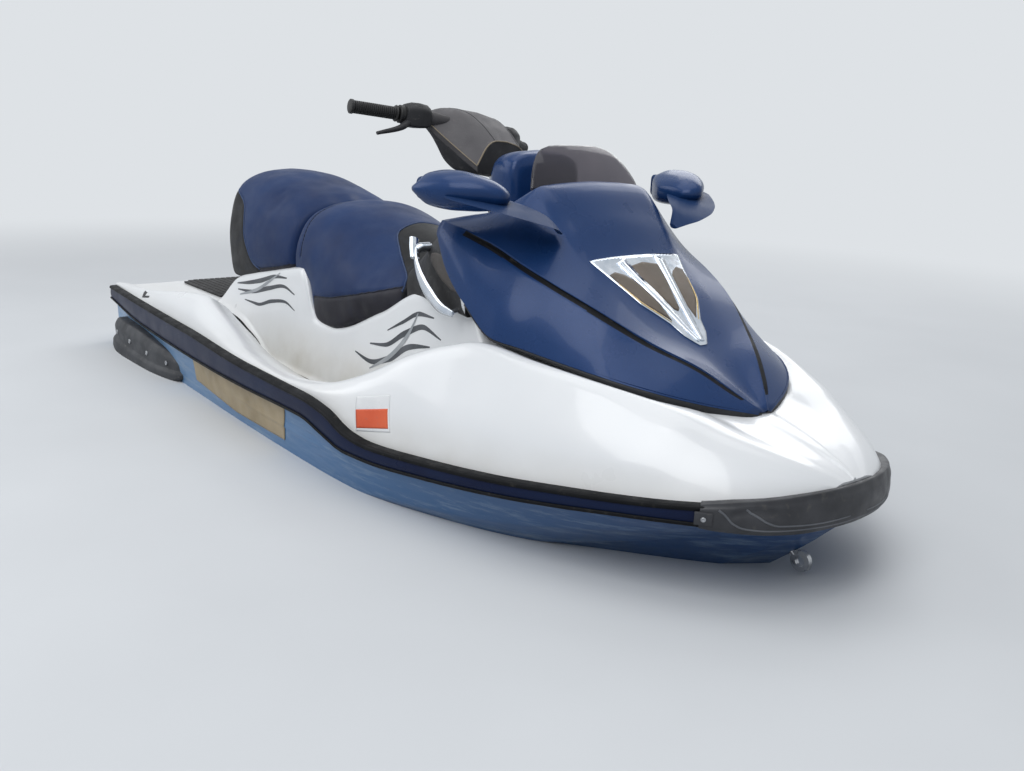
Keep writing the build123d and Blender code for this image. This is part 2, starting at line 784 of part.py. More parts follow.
def steering_nozzle():
    """Turning outlet nozzle with its pivot ears, turned as the bars rest."""
    tip = BUCKET_PIVOT_X - BUCKET_R + 24
    reach = HOUSING_R - 21
    high = Pos(NOZZLE_PIVOT_X, 0, PUMP_AXIS_Z + reach) * Cylinder(13, 30)
    low = Pos(NOZZLE_PIVOT_X, 0, PUMP_AXIS_Z - reach) * Cylinder(13, 30)
    body = cone_x(tip, 44, NOZZLE_R, HOUSING_R - 30) + high + low
    body = body - cone_x(tip - 2, 60, NOZZLE_R - 10, HOUSING_R - 36)
    body = body - pivot_pins(PIN_R + FIT)
    pivot = Axis((NOZZLE_PIVOT_X, 0, 0), (0, 0, 1))
    return body.rotate(pivot, NOZZLE_SHARE * STEER_REST)


def nozzle_bracket():
    """Fixed ears that carry the nozzle pins and the bucket."""
    near = HOUSING_R + 1
    far = HOUSING_R + 7
    top = box(26, 126, -14, 14, PUMP_AXIS_Z + near, PUMP_AXIS_Z + far)
    low = box(26, 126, -14, 14, PUMP_AXIS_Z - far, PUMP_AXIS_Z - near)
    cheeks = both_sides(box(14, 126, near - 0.5, far, PUMP_AXIS_Z - 14, PUMP_AXIS_Z + 14))
    tie = rod(114, 126, HOUSING_R + 9) - rod(110, 130, HOUSING_R)
    studs = both_sides(pin_y(BUCKET_PIVOT_X, PUMP_AXIS_Z, HOUSING_R + 4, BUCKET_SIDE - 1, PIN_R))
    return top + low + cheeks + tie + studs + pivot_pins(PIN_R)


def bucket_sector(radius, start, end):
    """Disc sector about the bucket pivot, in the XZ plane."""
    points = [Vector(BUCKET_PIVOT_X, 0, PUMP_AXIS_Z)]
    steps = 8
    for k in range(steps + 1):
        a = math.radians(start + (end - start) * k / steps)
        x = BUCKET_PIVOT_X + radius * math.cos(a)
        z = PUMP_AXIS_Z + radius * math.sin(a)
        points.append(Vector(x, 0, z))
    return Face(Wire.make_polygon(points, close=True))


def reverse_bucket():
    """Reverse gate, raised above the nozzle."""
    inside = BUCKET_SIDE - BUCKET_WALL
    solid = extrude(bucket_sector(BUCKET_R + 6, 92, 150), amount=BUCKET_SIDE, dir=(0, 1, 0))
    hollow = extrude(bucket_sector(BUCKET_R, 88, 154), amount=inside, dir=(0, 1, 0))
    boss = pin_y(BUCKET_PIVOT_X, PUMP_AXIS_Z, inside, BUCKET_SIDE, 18)
    body = solid - hollow + boss
    body = body + mirror(body, about=Plane.XZ)
    reach = BUCKET_SIDE + 20
    return body - pin_y(BUCKET_PIVOT_X, PUMP_AXIS_Z, -reach, reach, PIN_R + FIT)


def intake_grate():
    """Bars under the pump intake."""
    top = RIDE_PLATE_Z + RIDE_PLATE_WALL
    body = box(450, 470, -96, 96, RIDE_PLATE_Z, top) + box(810, 830, -96, 96, RIDE_PLATE_Z, top)
    for k in range(5):
        y = -64 + k * 32
        body = body + box(450, 830, y - 4, y + 4, RIDE_PLATE_Z, top)
    return body


def ride_plate():
    """Ribbed plate that closes the pump recess below."""
    top = RIDE_PLATE_Z + RIDE_PLATE_WALL
    plate = box(-40, 420, -BAY_SIDE, BAY_SIDE, RIDE_PLATE_Z, top)
    for k in range(5):
        y = -72 + k * 36
        plate = plate - box(-60, 380, y - 5, y + 5, RIDE_PLATE_Z - 1, RIDE_PLATE_Z + 3)
    return plate


def sponson():
    """Side sponson, starboard twin made by mirroring."""
    # Columns: x, inner y, outer y, low z, high z.
    table = [
        (96, 505, 530, 262, 324),
        (108, 506, 560, 244, 342),
        (130, 508, 578, 232, 352),
        (300, 515, 590, 214, 352),
        (520, 522, 586, 206, 338),
        (680, 528, 566, 222, 318),
        (750, 530, 550, 243, 300),
        (760, 530, 540, 250, 290),
    ]
    wires = []
    for x, inner, outer, low, high in denser(table, 90):
        tall = high - low
        points = [(inner - 4, low + 6), (outer - 8, low), (outer, low + tall * 0.12)]
        points += [(outer - 2, low + tall * 0.36), (outer - 12, low + tall * 0.44)]
        points += [(outer - 11, high - tall * 0.2), (outer - 22, high), (inner - 4, high)]
        wires.append(Wire.make_polygon([Vector(x, a, b) for a, b in points], close=True))
    return loft_rings(wires) - hull_solid()


def sponsons():
    """Both sponsons."""
    return both_sides(sponson())


def bow_eye():
    """Tow eye under the bow."""
    eye = Pos(2902, 0, 268) * Rot(90, 0, 0) * (Cylinder(24, 12) - Cylinder(12, 20))
    stem = bar_between((2886, 0, 276), (2850, 0, 300), 7)
    return eye + (stem - hull_solid())


def stern_eyes():
    """Two tie-down eyes on the transom."""
    eye = Pos(-26, 330, 300) * Rot(90, 0, 0) * (Cylinder(22, 10) - Cylinder(11, 20))
    foot = box(-9, 0, 312, 348, 272, 328)
    return both_sides(eye + foot)


def rear_handle():
    """Grab handle behind the rear seat."""
    top = Pos(372, 0, 585) * Box(28, 200, 26)
    legs = both_sides(bar_between((372, 88, 580), (540, 88, 560), 10))
    return top + legs - seat_form(REAR_SEAT) - deck_solid()


def front_bin():
    """Storage bin under the hood."""
    body = box(2238, 2542, -184, 184, 238, 622)
    return body - box(2242, 2538, -180, 180, 242, 650)


def side_blade():
    """Flat curved handle with its bracket, starboard."""
    # Columns: x, y, z, half-width across the blade.
    table = [
        (1868, -326, 826, 7),
        (1884, -336, 800, 10),
        (1922, -346, 762, 12),
        (1972, -352, 728, 12),
        (2030, -356, 702, 10),
        (2074, -352, 694, 7),
    ]
    wires = []
    for k, (x, y, z, half) in enumerate(table):
        before = Vector(*table[max(k - 1, 0)][:3])
        after = Vector(*table[min(k + 1, len(table) - 1)][:3])
        way = (after - before).normalized()
        plane = Plane(origin=(x, y, z), x_dir=Vector(0, 1, 0).cross(way), z_dir=way)
        wires.append(plane * Ellipse(half, 4.5).wire())
    blade = Solid.make_loft(wires, False)
    bracket = bar_between((1866, -280, 828), (1866, -334, 828), 12)
    foot = bar_between((2066, -312, 702), (2066, -356, 698), 8)
    return blade + bracket + foot - console()


def side_blades():
    """Bright blade handles on the fairing sides."""
    return both_sides(side_blade())


def main():
    os.makedirs("parts", exist_ok=True)
    save("hull_bottom", hull_bottom())
    save("deck", deck())
    save("engine", engine())
    save("rails", rails())
    save("bow_bumper", bumper())
    save("rear_mat", rear_mat())
    save("foot_mats", foot_mats())
    save("rear_seat", seat(REAR_SEAT))
    save("front_seat", seat(FRONT_SEAT))
    save("hood_shell", hood_shell())
    save("windshield", windshield())
    save("mirror_housings", mirror_housings())
    save("mirror_glasses", mirror_glasses())
    save("hood_emblem", emblem())
    save("console", console())
    save("gauge_pod", gauge_pod())
    save("steering_support", steering_support())
    save("steering_column", steering_column())
    save("steering_cover", steering_cover())
    save("handlebar", handlebar())
    save("grips", grips())
    save("switch_housings", switch_housings())
    save("throttle_lever", throttle_lever())
    save("impeller", impeller())
    save("pump_housing", pump_housing())
    save("venturi", venturi())
    save("nozzle_bracket", nozzle_bracket())
    save("steering_nozzle", steering_nozzle())
    save("reverse_bucket", reverse_bucket())
    save("intake_grate", intake_grate())
    save("ride_plate", ride_plate())
    save("sponsons", sponsons())
    save("bow_eye", bow_eye())
    save("stern_eyes", stern_eyes())
    save("rear_handle", rear_handle())
    save("front_bin", front_bin())
    save("hood_seal", hood_seal())
    save("side_blades", side_blades())


main()
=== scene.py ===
import math

import bmesh
import bpy
import numpy as np
from mathutils import Matrix, Vector
from mathutils.bvhtree import BVHTree


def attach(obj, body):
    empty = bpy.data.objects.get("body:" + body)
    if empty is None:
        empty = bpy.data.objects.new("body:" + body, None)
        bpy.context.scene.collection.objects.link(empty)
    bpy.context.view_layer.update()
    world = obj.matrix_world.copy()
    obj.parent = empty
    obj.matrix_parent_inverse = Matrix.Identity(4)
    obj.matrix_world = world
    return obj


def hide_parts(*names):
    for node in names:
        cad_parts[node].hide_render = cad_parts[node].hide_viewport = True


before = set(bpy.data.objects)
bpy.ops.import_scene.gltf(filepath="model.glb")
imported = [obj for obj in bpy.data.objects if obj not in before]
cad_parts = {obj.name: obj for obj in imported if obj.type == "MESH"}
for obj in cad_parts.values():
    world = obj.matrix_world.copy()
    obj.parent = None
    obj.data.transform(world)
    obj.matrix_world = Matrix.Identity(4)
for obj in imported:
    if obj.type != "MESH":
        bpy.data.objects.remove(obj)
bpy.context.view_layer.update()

# Places below are millimetres in the stations' frame: X from the transom, Z from the keel.
# The kept frame has its origin on the waterline, below the seat.
TRANSOM_TO_ORIGIN = 1400.0
KEEL_TO_WATER = 232.0
RAIL_WALL = 22.0
STEER_AT = (1745.0, 0.0, 1050.0)
STEER_TILT = 30.0
STEER_REST = 16.0
BIN_START, BIN_END, BIN_HALF = 2238, 2542, 184
BIN_RIM_Z = 590
HOOD_WALL = 5

CRAFT = "craft"
DOWN = (0, 0, -1)
SIDES = ((-1, "starboard"), (1, "port"))

# Camera of the photograph, in metres and degrees.
CAMERA_AT = (2.6494, -1.7646, 0.941)
CAMERA_YAW, CAMERA_PITCH, CAMERA_ROLL = 140.8, -15.1, 2.51
CAMERA_LENS = 35.23

# Hull stations. Columns: x, keel z, strake y and z, chine y and z,
# lip y and z, flange y, rail bottom z, rail top z.
HULL = [
    (0, 0, 240, 76, 462, 150, 505, 186, 518, 400, 455),
    (400, 0, 240, 76, 470, 150, 520, 188, 543, 372, 455),
    (900, 0, 242, 76, 476, 150, 536, 190, 568, 367, 455),
    (1400, 0, 242, 77, 482, 152, 548, 194, 588, 375, 446),
    (1750, 0, 240, 78, 482, 158, 552, 208, 590, 383, 446),
    (1870, 0, 236, 78, 478, 163, 550, 218, 586, 360, 432),
    (1960, 0, 230, 79, 472, 170, 546, 230, 580, 342, 401),
    (2050, 0, 222, 80, 462, 178, 534, 240, 568, 341, 390),
    (2250, 0, 202, 82, 425, 200, 490, 262, 533, 353, 400),
    (2450, 10, 172, 100, 365, 235, 432, 290, 490, 371, 416),
    (2600, 72, 134, 145, 292, 272, 372, 320, 434, 384, 428),
    (2750, 172, 96, 222, 218, 318, 292, 350, 366, 398, 440),
    (2850, 255, 68, 290, 160, 346, 218, 368, 300, 402, 448),
    (2930, 328, 40, 345, 96, 370, 132, 382, 225, 402, 458),
    (2985, 384, 18, 389, 50, 392, 72, 394, 135, 404, 468),
    (3002, 398, 10, 400, 30, 402, 44, 403, 84, 406, 472),
]

# Deck stations. Columns: x, flank y and z, crest y and z, edge y and z,
# floor outer y, floor inner y, floor z, side y and z, top y, top z.
DECK = [
    (0, 514, 462, 500, 466, 462, 458, 446, 300, 452, 285, 453, 220, 454),
    (240, 522, 468, 508, 482, 456, 468, 440, 300, 452, 285, 453, 220, 454),
    (470, 530, 482, 504, 514, 448, 480, 434, 300, 452, 288, 453, 250, 454),
    (545, 534, 492, 502, 526, 444, 486, 432, 300, 450, 258, 535, 236, 548),
    (700, 540, 506, 498, 550, 430, 500, 420, 302, 436, 255, 580, 235, 594),
    (850, 546, 510, 494, 564, 416, 505, 408, 304, 390, 255, 612, 235, 624),
    (960, 552, 500, 498, 540, 418, 478, 408, 304, 342, 256, 634, 236, 645),
    (1090, 560, 486, 504, 508, 424, 445, 412, 304, 334, 257, 655, 238, 664),
    (1105, 561, 484, 504, 504, 425, 442, 412, 304, 333, 257, 640, 238, 648),
    (1180, 566, 474, 508, 486, 430, 428, 416, 304, 331, 258, 508, 240, 514),
    (1280, 572, 462, 514, 466, 436, 414, 420, 304, 330, 258, 500, 240, 506),
    (1570, 580, 454, 532, 454, 450, 406, 430, 304, 330, 258, 596, 240, 602),
    (1780, 580, 468, 530, 482, 452, 436, 430, 306, 332, 262, 690, 240, 694),
    (1900, 570, 482, 522, 526, 446, 494, 424, 312, 336, 282, 702, 250, 706),
    (2010, 556, 492, 508, 580, 436, 560, 412, 322, 352, 300, 706, 260, 708),
    (2090, 542, 498, 492, 618, 428, 604, 404, 330, 420, 310, 704, 270, 706),
    (2190, 522, 505, 455, 652, 410, 646, 392, 345, 636, 330, 640, 285, 642),
    (2260, 508, 512, 425, 668, 388, 664, 360, 340, 650, 320, 650, 280, 650),
    (2390, 478, 520, 382, 655, 342, 642, 325, 300, 632, 280, 632, 240, 632),
    (2540, 425, 522, 332, 638, 298, 622, 280, 255, 614, 230, 614, 200, 614),
    (2655, 374, 522, 280, 618, 238, 602, 215, 195, 594, 170, 594, 140, 594),
    (2735, 334, 520, 246, 600, 160, 582, 135, 110, 570, 85, 568, 60, 566),
    (2800, 290, 514, 212, 574, 150, 564, 125, 100, 558, 75, 556, 50, 554),
    (2880, 234, 504, 160, 545, 118, 540, 95, 75, 537, 55, 536, 35, 535),
    (2950, 160, 496, 104, 518, 80, 516, 62, 48, 514, 34, 513, 20, 512),
    (2985, 108, 488, 66, 500, 48, 499, 38, 30, 498, 20, 498, 12, 498),
    (3002, 70, 482, 42, 488, 32, 488, 26, 20, 487, 14, 487, 8, 487),
]

# Hood stations. Columns: x, edge y and z, side y and z, crease y and z,
# shoulder y and z, centre z.
HOOD = [
    (2020, 368, 884, 364, 902, 352, 918, 250, 930, 936),
    (2080, 380, 806, 372, 868, 338, 906, 230, 944, 950),
    (2150, 385, 748, 372, 822, 314, 882, 186, 1000, 1012),
    (2165, 385, 738, 370, 812, 309, 877, 182, 1008, 1020),
    (2260, 381, 676, 363, 752, 287, 838, 165, 925, 946),
    (2340, 352, 662, 330, 725, 268, 808, 150, 848, 860),
    (2450, 316, 645, 290, 695, 228, 762, 125, 770, 774),
    (2566, 280, 630, 242, 660, 162, 700, 90, 692, 686),
    (2655, 222, 612, 172, 634, 98, 656, 55, 642, 632),
    (2720, 137, 590, 96, 600, 48, 608, 26, 600, 594),
    (2765, 24, 566, 18, 569, 12, 572, 6, 572, 571),
]

# Seat stations. Columns: x, skirt y and z, bulge y and z, shoulder y and z,
# crown y and z, centre z.
REAR_SEAT = [
    (428, 196, 636, 206, 730, 176, 820, 100, 862, 872),
    (446, 222, 600, 236, 720, 204, 862, 112, 908, 918),
    (500, 240, 556, 250, 700, 216, 888, 120, 940, 950),
    (640, 250, 566, 256, 710, 220, 884, 122, 936, 948),
    (800, 252, 602, 254, 720, 218, 862, 120, 908, 920),
    (935, 250, 630, 250, 725, 212, 838, 116, 880, 892),
    (985, 248, 640, 246, 725, 204, 818, 110, 858, 868),
]
FRONT_SEAT = [
    (1000, 246, 644, 246, 726, 202, 812, 108, 850, 858),
    (1040, 252, 650, 254, 728, 214, 832, 112, 872, 880),
    (1112, 258, 630, 262, 712, 216, 836, 112, 876, 884),
    (1186, 264, 509, 272, 640, 214, 828, 110, 868, 876),
    (1285, 266, 503, 278, 630, 206, 812, 106, 848, 856),
    (1430, 264, 549, 276, 640, 194, 786, 100, 818, 826),
    (1570, 262, 598, 268, 670, 182, 768, 96, 794, 802),
    (1690, 258, 652, 256, 700, 168, 760, 90, 780, 786),
]


# Points, outlines and paths

def place(point):
    """A station point in millimetres, as a point of the kept frame in metres."""
    x, y, z = point
    return Vector(((x - TRANSOM_TO_ORIGIN) / 1000, y / 1000, (z - KEEL_TO_WATER) / 1000))


def station(spot):
    """A point of the kept frame in metres, as a station point in millimetres."""
    return spot[0] * 1000 + TRANSOM_TO_ORIGIN, spot[1] * 1000, spot[2] * 1000 + KEEL_TO_WATER


def share_of(value, start, length):
    """How far a value has come over a length, from 0 to 1."""
    return max(0.0, min(1.0, (value - start) / length))


def rows_at(table, xs):
    """Rows of a table at the given x, on a smooth curve that doesn't overshoot."""
    data = np.array(table, float)
    x, values = data[:, 0], data[:, 1:]
    step = np.diff(x)[:, None]
    slope = np.diff(values, axis=0) / step
    tangent = np.concatenate([slope[:1], np.zeros_like(slope[1:]), slope[-1:]])
    for k in range(1, len(x) - 1):
        before, after = slope[k - 1], slope[k]
        w0 = 2 * step[k] + step[k - 1]
        w1 = step[k] + 2 * step[k - 1]
        same = before * after > 0
        mean = (w0 + w1) / (w0 / np.where(same, before, 1.0) + w1 / np.where(same, after, 1.0))
        tangent[k] = np.where(same, mean, 0.0)
    rows = []
    for value in xs:
        k = int(np.clip(np.searchsorted(x, value) - 1, 0, len(x) - 2))
        h = step[k]
        t = (value - x[k]) / h
        row = (2 * t ** 3 - 3 * t ** 2 + 1) * values[k] + (t ** 3 - 2 * t ** 2 + t) * h * tangent[k]
        row = row + (3 * t ** 2 - 2 * t ** 3) * values[k + 1] + (t ** 3 - t ** 2) * h * tangent[k + 1]
        rows.append([float(value)] + [float(v) for v in row])
    return rows


def stations(table, pitch, low=None, high=None, extra=()):
    """The x of a table's rows, with even steps between them."""
    low = table[0][0] if low is None else low
    high = table[-1][0] if high is None else high
    marks = sorted({low, high, *extra} | {row[0] for row in table if low < row[0] < high})
    xs = [marks[0]]
    for a, b in zip(marks, marks[1:]):
        count = max(1, round((b - a) / pitch))
        xs += [a + (b - a) * k / count for k in range(1, count + 1)]
    return xs


def rings_of(table, pitch, shape, **span):
    """One ring at each step of a table, its (y, z) outline from a function of the row."""
    rows = rows_at(table, stations(table, pitch, **span))
    return [[(row[0], y, z) for y, z in shape(*row)] for row in rows]


def rounded(corners, steps=4):
    """Outline through corners (y, z, reach), each one eased over its reach."""
    points = []
    for k, (y, z, reach) in enumerate(corners):
        if k in (0, len(corners) - 1) or reach <= 0:
            points.append((y, z))
            continue
        corner = np.array((y, z), float)
        start, end = (np.array(corners[near][:2], float) - corner for near in (k - 1, k + 1))
        a = min(reach, np.linalg.norm(start) * 0.48) / max(np.linalg.norm(start), 1e-6)
        b = min(reach, np.linalg.norm(end) * 0.48) / max(np.linalg.norm(end), 1e-6)
        for s in range(steps + 1):
            t = s / steps
            p = (corner + start * a) * (1 - t) ** 2 + corner * 2 * t * (1 - t) + (corner + end * b) * t ** 2
            points.append((float(p[0]), float(p[1])))
    return points


def ring_of(corners, steps=3):
    """Closed outline from corners (y, z, reach)."""
    loop = [corners[-1], *corners, corners[0]]
    return [point for k in range(len(corners)) for point in rounded(loop[k:k + 3], steps)[1:-1]]


def whole(half, start=0):
    """Ring of (y, z) from a half outline that ends, or with start=1 lies, on the centre plane."""
    return half + [(-y, z) for y, z in reversed(half[start:-1])]


def other_side(grid):
    """The same grid across the centre plane."""
    return [[(x, -y, z) for x, y, z in reversed(ring)] for ring in grid]


def pair(*grids):
    """Grids and their twins across the centre plane."""
    return [*grids, *(other_side(grid) for grid in grids)]


def upright(outline, side, y):
    """An outline in x and z, as points at y on one side."""
    return [(x, y * side, z) for x, z in outline]


def mirrored(line):
    """A line's twin across the centre plane."""
    return [(x, -y, z) for x, y, z in line]


def curve_points(points, count):
    """Points evenly spaced on a smooth curve through the given ones."""
    data = np.array(points, float)
    gaps = np.linalg.norm(np.diff(data, axis=0), axis=1)
    run = np.concatenate([[0], np.cumsum(gaps)])
    return [tuple(row[1:]) for row in rows_at(np.column_stack([run, data]), np.linspace(0, run[-1], count))]


def over(line, count):
    """A half line carried over the top to the other side."""
    return curve_points(line + mirrored(line[-2::-1]), count)


def frames_along(path, up=(0, 0, 1)):
    """Position, side and lift vectors at each point of a path."""
    data = np.array(path, float)
    tangent = np.gradient(data, axis=0)
    tangent /= np.linalg.norm(tangent, axis=1)[:, None]
    side = np.cross(tangent, np.array(up, float))
    side /= np.maximum(np.linalg.norm(side, axis=1)[:, None], 1e-9)
    return data, side, np.cross(side, tangent)


def apart(path, gap=0.2):
    """A path without the points that lie on the one before."""
    kept = [path[0]]
    for point in path[1:]:
        if math.dist(point, kept[-1]) > gap:
            kept.append(point)
    return kept


def sweep(path, section, up=(0, 0, 1), scale=None):
    """Grid of rings: a section of (side, lift) offsets carried along a path."""
    data, side, lift = frames_along(apart(path), up)
    grid = []
    for k, spot in enumerate(data):
        s = scale(k / (len(data) - 1)) if scale else 1.0
        grid.append([tuple(spot + side[k] * a * s + lift[k] * b * s) for a, b in section])
    return grid


def circle(radius, count=16, flat=1.0):
    """Round section, flattened in lift where asked."""
    turn = [2 * math.pi * k / count for k in range(count)]
    return [(radius * math.cos(t), radius * flat * math.sin(t)) for t in turn]


def turned(profile, origin, axis, count=32):
    """Grid of a lathed profile of (along, radius), about an axis from an origin."""
    axis = Vector(axis).normalized()
    side = axis.orthogonal().normalized()
    lift = axis.cross(side)
    spokes = [side * a + lift * b for a, b in circle(1.0, count)]
    origin = Vector(origin)
    return [[tuple(origin + axis * out + spoke * radius) for spoke in spokes] for out, radius in profile]


# Pieces

def add(name, mesh, look, body, nodes=(), sharp=35.0):
    """A mesh as a new piece, smooth apart from its sharp edges."""
    mesh.shade_smooth()
    mesh.set_sharp_from_angle(angle=math.radians(sharp))
    made = bpy.data.objects.new(name, mesh)
    bpy.context.scene.collection.objects.link(made)
    mesh.materials.append(PAINT[look])
    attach(made, body)
    if nodes:
        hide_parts(*nodes)
    return made


def piece(name, vertices, faces, look, body, nodes=(), sharp=35.0):
    """One mesh piece from station points."""
    mesh = bpy.data.meshes.new(name)
    mesh.from_pydata([place(v) for v in vertices], [], faces)
    work = bmesh.new()
    work.from_mesh(mesh)
    bmesh.ops.remove_doubles(work, verts=work.verts, dist=0.02 / 1000)
    bmesh.ops.dissolve_degenerate(work, dist=1e-6, edges=work.edges)
    bmesh.ops.recalc_face_normals(work, faces=work.faces)
    work.to_mesh(mesh)
    work.free()
    return add(name, mesh, look, body, nodes, sharp)


def skin(name, grids, look, body, slot, *nodes, closed=False, caps=False, sharp=35.0, drop=None):
    """One piece from grids of station points, with caps where asked."""
    vertices, faces = [], []
    for grid in grids:
        start, count = len(vertices), len(grid[0])
        last = start + (len(grid) - 1) * count
        for ring in grid:
            vertices += ring
        found = []
        for row in range(start, last, count):
            for j in range(count if closed else count - 1):
                a, b = row + j, row + (j + 1) % count
                found.append((a, b, b + count, a + count))
        faces += [f for f in found if not (drop and drop(np.mean([vertices[k] for k in f], axis=0)))]
        if caps:
            faces.append(tuple(range(start, start + count)))
            faces.append(tuple(range(last + count - 1, last - 1, -1)))
    return piece(name, vertices, faces, look, body, nodes, sharp)


def solid(name, grids, look, body, slot, *nodes, sharp=35.0):
    """One piece from closed rings, with its ends capped."""
    return skin(name, grids, look, body, slot, *nodes, closed=True, caps=True, sharp=sharp)


def blocks(name, parts, look, body, slot, *nodes, ease=1.5):
    """Eased boxes in one piece, each given as (centre, size, turn about Z in degrees)."""
    work = bmesh.new()
    for centre, size, turn in parts:
        made = bmesh.ops.create_cube(work, size=1.0)
        matrix = Matrix.Translation(place(centre)) @ Matrix.Rotation(math.radians(turn), 4, "Z")
        matrix = matrix @ Matrix.Diagonal((size[0] / 1000, size[1] / 1000, size[2] / 1000, 1))
        bmesh.ops.transform(work, matrix=matrix, verts=made["verts"])
    bmesh.ops.bevel(work, geom=work.edges, offset=ease / 1000, segments=2, affect="EDGES", profile=0.6)
    mesh = bpy.data.meshes.new(name)
    work.to_mesh(mesh)
    work.free()
    return add(name, mesh, look, body, nodes, 40)


def at_rest(*parts):
    """Turns steering pieces, made straight ahead, to where the bars rest."""
    tilt = math.radians(STEER_TILT)
    turn = Matrix.Rotation(math.radians(STEER_REST), 4, Vector((-math.sin(tilt), 0, math.cos(tilt))))
    pivot = Matrix.Translation(place(STEER_AT))
    for part in parts:
        part.data.transform(pivot @ turn @ pivot.inverted())


def thicken(made, thickness, offset=-1.0, even=True):
    """Gives a shell its wall."""
    wall = made.modifiers.new("wall", "SOLIDIFY")
    wall.thickness = thickness / 1000
    wall.offset = offset
    wall.use_even_offset = even
    return made


def apply_modifiers(made):
    """Makes the modified mesh the piece's own."""
    graph = bpy.context.evaluated_depsgraph_get()
    mesh = bpy.data.meshes.new_from_object(made.evaluated_get(graph))
    made.modifiers.clear()
    made.data = mesh


def on_surface(made, points, lift=0.0, way=None, reach=400.0):
    """Points moved to a piece's nearest place, or onto it along a way, and lifted off it."""
    tree = BVHTree.FromObject(made, bpy.context.evaluated_depsgraph_get())
    way = Vector(way).normalized() if way else None
    out = []
    for point in points:
        spot = None
        if way:
            spot, normal, _, _ = tree.ray_cast(place(point) - way * reach / 1000, way)
        if spot is None:
            spot, normal, _, _ = tree.find_nearest(place(point))
        if way and normal.dot(way) > 0:
            normal = -normal
        out.append(station(spot + normal * lift / 1000))
    return out


def patch(name, outline, on, look, slot, way, lift, thick, *nodes, body=CRAFT, pitch=9.0):
    """Thin plate with the given outline, laid on a piece's surface along a way."""
    work = bmesh.new()
    work.faces.new([work.verts.new(p) for p in outline])
    bmesh.ops.triangulate(work, faces=work.faces)
    for _ in range(7):
        long_edges = [e for e in work.edges if e.calc_length() > pitch]
        if not long_edges:
            break
        bmesh.ops.subdivide_edges(work, edges=long_edges, cuts=1)
        bmesh.ops.triangulate(work, faces=[f for f in work.faces if len(f.verts) > 3])
    work.verts.index_update()
    points = [tuple(v.co) for v in work.verts]
    faces = [tuple(v.index for v in f.verts) for f in work.faces]
    work.free()
    made = piece(name, on_surface(on, points, lift, way), faces, look, body, nodes, 40)
    return thicken(made, thick, 0, False)


def stroke(path, widths, on, way, lift, count=40, reach=400.0):
    """Grid of a painted stroke, its width changing along a path on a surface."""
    data, side, _ = frames_along(curve_points(path, count), way)
    wide = np.interp(np.linspace(0, 1, count), np.linspace(0, 1, len(widths)), widths)
    spots = [[tuple(p + s * w * share) for share in (-0.5, 0, 0.5)] for p, s, w in zip(data, side, wide)]
    return [on_surface(on, row, lift, way, reach) for row in spots]


def recolour(made, look, within):
    """Another look where the test on a face's station point says so."""
    made.data.materials.append(PAINT[look])
    index = len(made.data.materials) - 1
    for face in made.data.polygons:
        if within(*station(face.center)):
            face.material_index = index


# Materials

def colour(red, green, blue):
    """Linear colour from screen values of 0 to 255."""
    parts = [part / 255 for part in (red, green, blue)]
    return (*(v / 12.92 if v <= 0.04045 else ((v + 0.055) / 1.055) ** 2.4 for v in parts), 1.0)


def node(tree, kind, inputs, **settings):
    """Outputs of a new shader node, its inputs given as values or joined to sockets."""
    made = tree.nodes.new("ShaderNode" + kind)
    for name, value in settings.items():
        setattr(made, name, value)
    for name, value in inputs.items():
        if isinstance(value, bpy.types.NodeSocket):
            tree.links.new(value, made.inputs[name])
        else:
            made.inputs[name].default_value = value
    return made.outputs


def finish(name, **sockets):
    """New material with constant values on its shader."""
    material = bpy.data.materials.new(name)
    material.use_nodes = True
    shader = material.node_tree.nodes["Principled BSDF"]
    for socket, value in sockets.items():
        shader.inputs[socket.replace("_", " ")].default_value = value
    return material, material.node_tree, shader


def coordinates(tree):
    """Place on the piece, in metres of the kept frame."""
    return node(tree, "TexCoord", {})["Object"]


def speckle(tree, scale, detail=3.0, stretch=(1, 1, 1), rough=0.5):
    """Noise on the piece, finer along an axis where stretched."""
    vector = node(tree, "Mapping", {"Vector": coordinates(tree), "Scale": stretch})["Vector"]
    noise = {"Vector": vector, "Scale": scale, "Detail": detail, "Roughness": rough}
    return node(tree, "TexNoise", noise)["Fac"]


def cells(tree, scale):
    """Distance pattern of small cells, for leather grain."""
    return node(tree, "TexVoronoi", {"Vector": coordinates(tree), "Scale": scale})["Distance"]


def along(tree, axis, low, high):
    """Share from 0 to 1 between two places along an axis, in metres."""
    split = node(tree, "SeparateXYZ", {0: coordinates(tree)})
    return node(tree, "MapRange", {"Value": split[axis], "From Min": low, "From Max": high})["Result"]


def ramp(tree, share, low, high, first, second, *more):
    """Colour or value steps over a share, from the first at low to the second at high."""
    made = tree.nodes.new("ShaderNodeValToRGB")
    for k, (spot, shade) in enumerate(((low, first), (high, second), *more)):
        stop = made.color_ramp.elements[k] if k < 2 else made.color_ramp.elements.new(spot)
        stop.position = spot
        stop.color = colour(*shade) if isinstance(shade, tuple) else (shade, shade, shade, 1.0)
    tree.links.new(share, made.inputs["Fac"])
    return made.outputs["Color"]


def mixed(tree, share, first, second):
    """Colour between two, the first a socket and the second a socket or a colour."""
    second = colour(*second) if isinstance(second, tuple) else second
    return node(tree, "Mix", {"Factor": share, 6: first, 7: second}, data_type="RGBA")[2]


def times(tree, first, second):
    """Product of two shares."""
    return node(tree, "Math", {0: first, 1: second}, operation="MULTIPLY")[0]


def surface(tree, shader, base, rough, height, depth, strength):
    """Joins base colour, roughness and a bump, its depth in metres, to the shader."""
    bump = node(tree, "Bump", {"Height": height, "Distance": depth, "Strength": strength})
    for socket, value in (("Base Color", base), ("Roughness", rough), ("Normal", bump["Normal"])):
        tree.links.new(value, shader.inputs[socket])


